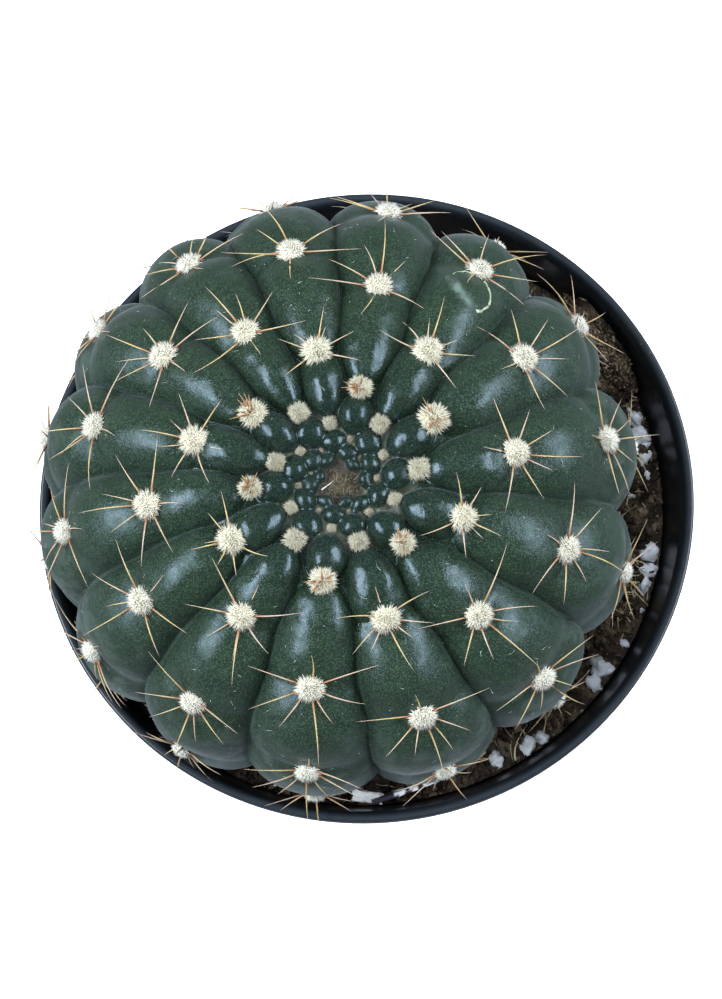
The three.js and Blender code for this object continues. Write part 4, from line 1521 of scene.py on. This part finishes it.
def pebble_pattern(seed, subdivisions, roughness):
    """An uneven grain of about unit radius."""
    bm = bmesh.new()
    bmesh.ops.create_icosphere(bm, subdivisions=subdivisions, radius=1)
    shift = Vector((seed * 3.7, seed * 1.3, 0))
    for vert in bm.verts:
        vert.co *= 1 + roughness * noise.noise(vert.co * 1.3 + shift)
        vert.co *= 1 + 0.4 * roughness * noise.noise(vert.co * 3.1 + shift)
    return mesh_from(bm, "pebble_pattern")


def random_turn(draw):
    x, y, z = (Matrix.Rotation(draw.uniform(0, 2 * math.pi), 4, axis) for axis in "XYZ")
    return x @ y @ z


def soil_spot(draw, margin):
    """A random place on the open soil, between the plant's foot and the pot's wall."""
    inner, outer = OPEN_SOIL
    while True:
        angle = draw.uniform(0, 2 * math.pi)
        radius = math.sqrt(draw.uniform(inner**2, outer**2))
        x, y, _ = squeezed(radius * math.cos(angle), radius * math.sin(angle), SOIL_LEVEL)
        height = soil_height(x, y)
        clear_of_wall = round_distance(x, y, height) < inner_radius(height) - margin
        clear_of_plant = math.hypot(x - PLANT_X, y - PLANT_Y) > FOOT_RADIUS + margin
        if clear_of_wall and clear_of_plant:
            return x, y


def build_crumbs(look):
    """Loose crumbs of the mix, some of them larger and rougher."""
    draw = random.Random(look.seed)
    small = [pebble_pattern(seed, 1, 0.6) for seed in range(CRUMB_PATTERNS)]
    large = [pebble_pattern(seed, 2, 1.0) for seed in range(CRUMB_PATTERNS)]
    bm = new_bmesh("tint")
    for _ in range(look.crumbs):
        size = CRUMB_SIZES[0] + CRUMB_SIZES[1] * draw.random() ** 3
        x, y = soil_spot(draw, size)
        z = rough_soil_height(x, y) + 0.2 * size
        sizes = (size * draw.uniform(1, 1.8), size, size * draw.uniform(0.6, 1), 1)
        matrix = Matrix.Translation((x, y, z)) @ random_turn(draw) @ Matrix.Diagonal(sizes)
        is_large = size > LARGE_CRUMB
        tint = draw.random() ** 4 * (0.45 if is_large else 1)
        stamp(bm, draw.choice(large if is_large else small), matrix, tint=tint)
    drop(*small, *large)
    keep_in_pot(bm)
    return bm


def build_clump(look):
    """A clump of coarse fibrous peat, heaped against the wall: a rough lump under its strands."""
    draw = random.Random(look.seed + 3)
    pattern = strand_pattern(3)
    bm = new_bmesh("tint")
    bmesh.ops.create_icosphere(bm, subdivisions=5, radius=1)
    turn = Matrix.Rotation(math.radians(CLUMP_TURN), 4, "Z")
    matrix = Matrix.Translation(CLUMP_PLACE) @ turn @ Matrix.Diagonal((*CLUMP_SIZE, 1))
    for vert in bm.verts:
        rough = noise.fractal(vert.co * 2.6, 0.8, 2.1, 5)
        vert.co = kept_in_pot(matrix @ (vert.co * (1 + 0.26 * rough)))
    bm.normal_update()
    seeds = [vert for vert in bm.verts if vert.normal.z > -0.1 and vert.co.z > SOIL_LEVEL]
    spots = [(vert.co.copy(), vert.normal.copy()) for vert in draw.choices(seeds, k=CLUMP_STRANDS)]
    for spot, outward in spots:
        heading = 1.2 + 3 * noise.noise(spot * 0.2) + draw.gauss(0, 0.5)
        length = draw.uniform(*CLUMP_LENGTHS)
        flat = around_z(heading)
        flat = (flat - outward * flat.dot(outward)).normalized() + outward * draw.uniform(0, 0.35)
        bend = outward * -0.3 + scattered(draw, 0.3, 0.3, 0.3)
        if round_distance(*(spot + flat * length)) < inner_radius(spot.z) - 0.5:
            tint = 0.8 * draw.random() ** 2.5
            path = bowed(spot, flat * length, bend * length)
            add_strand(bm, pattern, path, draw.uniform(*CLUMP_RADII), tint=tint)
    drop(pattern)
    return turned_out(bm)


def build_chip():
    """A crisp white chip that lies beside the label."""
    bm = bmesh.new()
    bmesh.ops.create_cube(bm, size=1)
    bmesh.ops.subdivide_edges(bm, edges=bm.edges, cuts=6, use_grid_fill=True)
    for vert in bm.verts:
        ragged = 0.3 * noise.noise(vert.co * 4)
        vert.co.x *= 1 + ragged
        vert.co.y *= 1 + 2 * ragged
        vert.co.z += 0.5 * noise.noise(Vector((vert.co.x * 2, vert.co.y * 2, 3)))
    size = Matrix.Diagonal((*WHITE_CHIP_SIZE, 1))
    turn = Matrix.Rotation(math.radians(WHITE_CHIP_TURN), 4, "Z")
    bmesh.ops.transform(bm, matrix=Matrix.Translation(WHITE_CHIP) @ turn @ size, verts=bm.verts)
    return bm


def build_perlite(look):
    """White grains: those that the photograph shows, and a few where it shows none."""
    draw = random.Random(look.seed + 1)
    patterns = [pebble_pattern(seed, 3, 0.5) for seed in range(20, 25)]
    grains = list(PERLITE_SEEN)
    for _ in range(HIDDEN_GRAINS):
        size = GRAIN_SIZES[0] + GRAIN_SIZES[1] * draw.random() ** 2
        x, y = soil_spot(draw, size)
        if x < SHOWN_SIDE or size < TINY_GRAIN:
            grains.append((x, y, size))
    bm = new_bmesh("tint")
    for i, (x, y, size) in enumerate(grains):
        room = (inner_radius(SOIL_LEVEL) - size - GAP) / round_distance(x, y, SOIL_LEVEL)
        x, y = x * min(room, 1), y * min(room, 1)
        place = Matrix.Translation((x, y, rough_soil_height(x, y) + 0.35 * size))
        matrix = place @ random_turn(draw) @ Matrix.Diagonal((size * 1.1, size, size * 0.8, 1))
        pattern = draw.choice(patterns)
        stamp(bm, pattern, matrix, tint=0.6 if i == MOSSY_GRAIN else draw.uniform(0, 0.15))
    drop(*patterns)
    keep_in_pot(bm)
    return bm


def fibre_spots(draw):
    """Places for fibres: a few anywhere on the soil, and many in the beds of fibres."""
    spots = [soil_spot(draw, 1.5) for _ in range(FIBRES)]
    for x, y, reach, count in FIBRE_BEDS:
        for _ in range(count):
            spots.append((x + draw.gauss(0, reach / 2.5), y + draw.gauss(0, reach / 2)))
    return spots


def build_straw(look):
    """Dry fibres, straw bits and a curled root lying on the soil."""
    draw = random.Random(look.seed + 2)
    pattern = strand_pattern(4)
    bm = new_bmesh("tint")
    for i, (x, y) in enumerate(fibre_spots(draw)):
        is_pale = i >= FIBRES
        length = draw.uniform(*(PALE_FIBRE_LENGTHS if is_pale else FIBRE_LENGTHS))
        angle = draw.uniform(0, 2 * math.pi)
        direction = around_z(angle, draw.uniform(-0.1, 0.3)).normalized()
        bed = Vector((x, y, rough_soil_height(x, y) + (0.9 if is_pale else 0.5)))
        root = bed - direction * length / 2
        end = root + direction * length
        if max(round_distance(*root), round_distance(*end)) > inner_radius(root.z) - 0.6:
            continue
        bend = Vector((draw.gauss(0, 0.25), draw.gauss(0, 0.25), draw.uniform(-0.15, 0.1)))
        tint = draw.uniform(0, 0.35) if is_pale else draw.uniform(0.2, 1)
        path = bowed(root, direction * length, bend * length)
        add_strand(bm, pattern, path, draw.uniform(*FIBRE_RADII), tint=tint)
    curl = strand_pattern(24)
    add_strand(bm, curl, smooth_path(ROOT_CURL), ROOT_CURL_RADIUS, tint=0.1)
    drop(pattern, curl)
    keep_in_pot(bm)
    return turned_out(bm)


def build_label():
    """A thin strip, slightly curled, with rounded edges."""
    width, thickness, length = LABEL_SIZE
    bm = bmesh.new()
    bmesh.ops.create_cube(bm, size=1, matrix=Matrix.Diagonal((width, thickness, length, 1)))
    lengthwise = [edge for edge in bm.edges if abs(edge.verts[0].co.x - edge.verts[1].co.x) > 1]
    bmesh.ops.subdivide_edges(bm, edges=lengthwise, cuts=39, use_grid_fill=True)
    bmesh.ops.bevel(
        bm,
        geom=[edge for edge in bm.edges if edge.calc_face_angle(0) > 1],
        offset=LABEL_ROUNDING,
        offset_type="OFFSET",
        affect="EDGES",
        segments=2,
        profile=0.5,
        material=-1,
    )
    bmesh.ops.translate(bm, verts=bm.verts, vec=(0, 0, -length / 2))
    # A painted white glint in patches along the top edge, from GLINT_FROM on to the right.
    worn = [
        float(vert.co.z > -1 and vert.co.x > GLINT_FROM and noise.noise(vert.co * 0.9) > -0.08)
        for vert in bm.verts
    ]
    set_layer(bm, "sheen_and_wear", worn)
    for vert in bm.verts:
        vert.co.y += LABEL_CURL * (vert.co.x / width) ** 2 - 0.1
    bmesh.ops.transform(bm, matrix=label_matrix(), verts=bm.verts)
    return bm


# ---- Operators ----


class CACTUS_OT_pot(bpy.types.Operator):
    """Makes the thin black nursery pot"""

    bl_idname = "cactus.pot"
    bl_label = "Pot"

    def execute(self, context):
        look = context.scene.cactus_pot
        bm = build_pot(look.sides, look.lip_rounding / MM)
        colors = (look.plastic, look.lip, look.dust)
        material = plastic_material("pot_plastic", *colors, roughness=0.30)
        piece = finished("nursery_pot", bm, material, "pot")
        drill_holes(piece)
        piece.data.set_sharp_from_angle(angle=math.radians(SHARP_EDGE))
        return {"FINISHED"}


class CACTUS_OT_soil(bpy.types.Operator):
    """Makes the soil with the crumbs, perlite, clump, fibres and chip that lie on it"""

    bl_idname = "cactus.soil"
    bl_label = "Soil"

    def execute(self, context):
        look = context.scene.cactus_soil
        mix = soil_material(look)
        finished("soil_body", build_soil(), mix, "soil")
        finished("soil_crumbs", build_crumbs(look), mix, smooth=False)
        finished("perlite_grains", build_perlite(look), perlite_material(look))
        finished("peat_clump", build_clump(look), mix)
        finished("dry_fibres", build_straw(look), straw_material(look))
        finished("white_chip", build_chip(), chip_material())
        return {"FINISHED"}


class CACTUS_OT_plant(bpy.types.Operator):
    """Makes the ribbed body with the knobs of its crown and its healed scar"""

    bl_idname = "cactus.plant"
    bl_label = "Plant body"

    def execute(self, context):
        look = context.scene.cactus_plant
        finished("cactus_body", build_plant_body(), skin_material(look), "cactus")
        finished("scar_ridge", build_scar(), scar_material())
        return {"FINISHED"}


class CACTUS_OT_wool(bpy.types.Operator):
    """Makes the tufts of wool, the crown's felt, and the splinter and flecks on the skin"""

    bl_idname = "cactus.wool"
    bl_label = "Wool"

    def execute(self, context):
        look = context.scene.cactus_plant
        wool = wool_material(look)
        finished("areole_wool", build_wool(look), wool)
        finished("crown_felt", build_felt(look), wool)
        pale = fleck_material()
        finished("crown_splinter", build_splinter(), pale)
        finished("skin_flecks", build_flecks(look), pale)
        return {"FINISHED"}


class CACTUS_OT_spines(bpy.types.Operator):
    """Makes the spines"""

    bl_idname = "cactus.spines"
    bl_label = "Spines"

    def execute(self, context):
        look = context.scene.cactus_plant
        finished("spines", build_spines(look), spine_material(look))
        return {"FINISHED"}


class CACTUS_OT_label(bpy.types.Operator):
    """Makes the plain strip pushed into the soil"""

    bl_idname = "cactus.label"
    bl_label = "Label"

    def execute(self, context):
        look = context.scene.cactus_label
        # look.worn is the painted white glint on the label's top edge.
        colors = (look.plastic, look.worn, context.scene.cactus_pot.dust)
        material = plastic_material("label_plastic", *colors, roughness=0.14)
        finished("plant_label", build_label(), material, "label")
        return {"FINISHED"}


class CACTUS_OT_stage(bpy.types.Operator):
    """Makes the floor, the soft light and the camera"""

    bl_idname = "cactus.stage"
    bl_label = "Stage"

    def execute(self, context):
        look = context.scene.cactus_stage
        scene = context.scene
        add_floor(scene, look)
        for name, box in SOFT_BOXES.items():
            add_soft_box(scene, look, name, *box)
        world = bpy.data.worlds.new("studio")
        world.use_nodes = True
        background = world.node_tree.nodes["Background"]
        background.inputs["Color"].default_value = (1, 1, 1, 1)
        background.inputs["Strength"].default_value = WORLD_STRENGTH
        scene.world = world
        scene.view_settings.view_transform = "Standard"
        add_camera(scene)
        return {"FINISHED"}


def add_floor(scene, look):
    bm = bmesh.new()
    bmesh.ops.create_grid(bm, x_segments=1, y_segments=1, size=FLOOR_SIZE)
    mesh = mesh_from(bm, "floor")
    mesh.materials.append(floor_material(look))
    floor = bpy.data.objects.new("floor", mesh)
    scene.collection.objects.link(floor)


def add_soft_box(scene, look, name, off_zenith, azimuth, size, share, mirrored):
    """A rectangular soft light aimed at the crown."""
    data = bpy.data.lights.new(name, "AREA")
    data.shape = "RECTANGLE"
    data.size, data.size_y = size
    data.energy = share * look.power
    data.color = look.light[:3]
    light = bpy.data.objects.new(name, data)
    scene.collection.objects.link(light)
    tilt, turn = math.radians(off_zenith), math.radians(azimuth)
    flat = math.sin(tilt)
    back = Vector((flat * math.cos(turn), flat * math.sin(turn), math.cos(tilt)))
    light.location = Vector(SOFT_BOX_AIM) + back * SOFT_BOX_DISTANCE
    light.rotation_euler = (-back).to_track_quat("-Z", "Y").to_euler()
    light.visible_glossy = mirrored


def add_camera(scene):
    """A camera over the crown, tilted a little from straight down."""
    tilt = math.radians(CAMERA_TILT)
    data = bpy.data.cameras.new("camera")
    data.sensor_width = SENSOR
    data.lens = LENS
    data.clip_start, data.clip_end = 0.01, 20
    camera = bpy.data.objects.new("camera", data)
    scene.collection.objects.link(camera)
    back = Vector((0, -math.sin(tilt), math.cos(tilt)))
    camera.location = Vector(CAMERA_TARGET) + back * CAMERA_DISTANCE
    camera.rotation_euler = (tilt, 0, 0)
    scene.camera = camera


class CACTUS_PT_panel(bpy.types.Panel):
    """Lists the pieces in the sidebar"""

    bl_idname = "CACTUS_PT_panel"
    bl_label = "Potted cactus"
    bl_space_type = "VIEW_3D"
    bl_region_type = "UI"
    bl_category = "Cactus"

    def draw(self, context):
        for operator in OPERATORS:
            self.layout.operator(operator.bl_idname)


SETTINGS = {
    "cactus_pot": PotSettings,
    "cactus_soil": SoilSettings,
    "cactus_plant": PlantSettings,
    "cactus_label": LabelSettings,
    "cactus_stage": StageSettings,
}
OPERATORS = (
    CACTUS_OT_stage,
    CACTUS_OT_pot,
    CACTUS_OT_soil,
    CACTUS_OT_plant,
    CACTUS_OT_wool,
    CACTUS_OT_spines,
    CACTUS_OT_label,
)


def register():
    for cls in (*SETTINGS.values(), *OPERATORS, CACTUS_PT_panel):
        bpy.utils.register_class(cls)
    for name, settings in SETTINGS.items():
        setattr(bpy.types.Scene, name, bpy.props.PointerProperty(type=settings))


def unregister():
    for name in SETTINGS:
        delattr(bpy.types.Scene, name)
    for cls in reversed((*SETTINGS.values(), *OPERATORS, CACTUS_PT_panel)):
        bpy.utils.unregister_class(cls)


def main():
    register()
    bpy.ops.cactus.stage()
    bpy.ops.cactus.pot()
    bpy.ops.cactus.soil()
    bpy.ops.cactus.plant()
    bpy.ops.cactus.wool()
    bpy.ops.cactus.spines()
    bpy.ops.cactus.label()


if __name__ == "__main__":
    main()
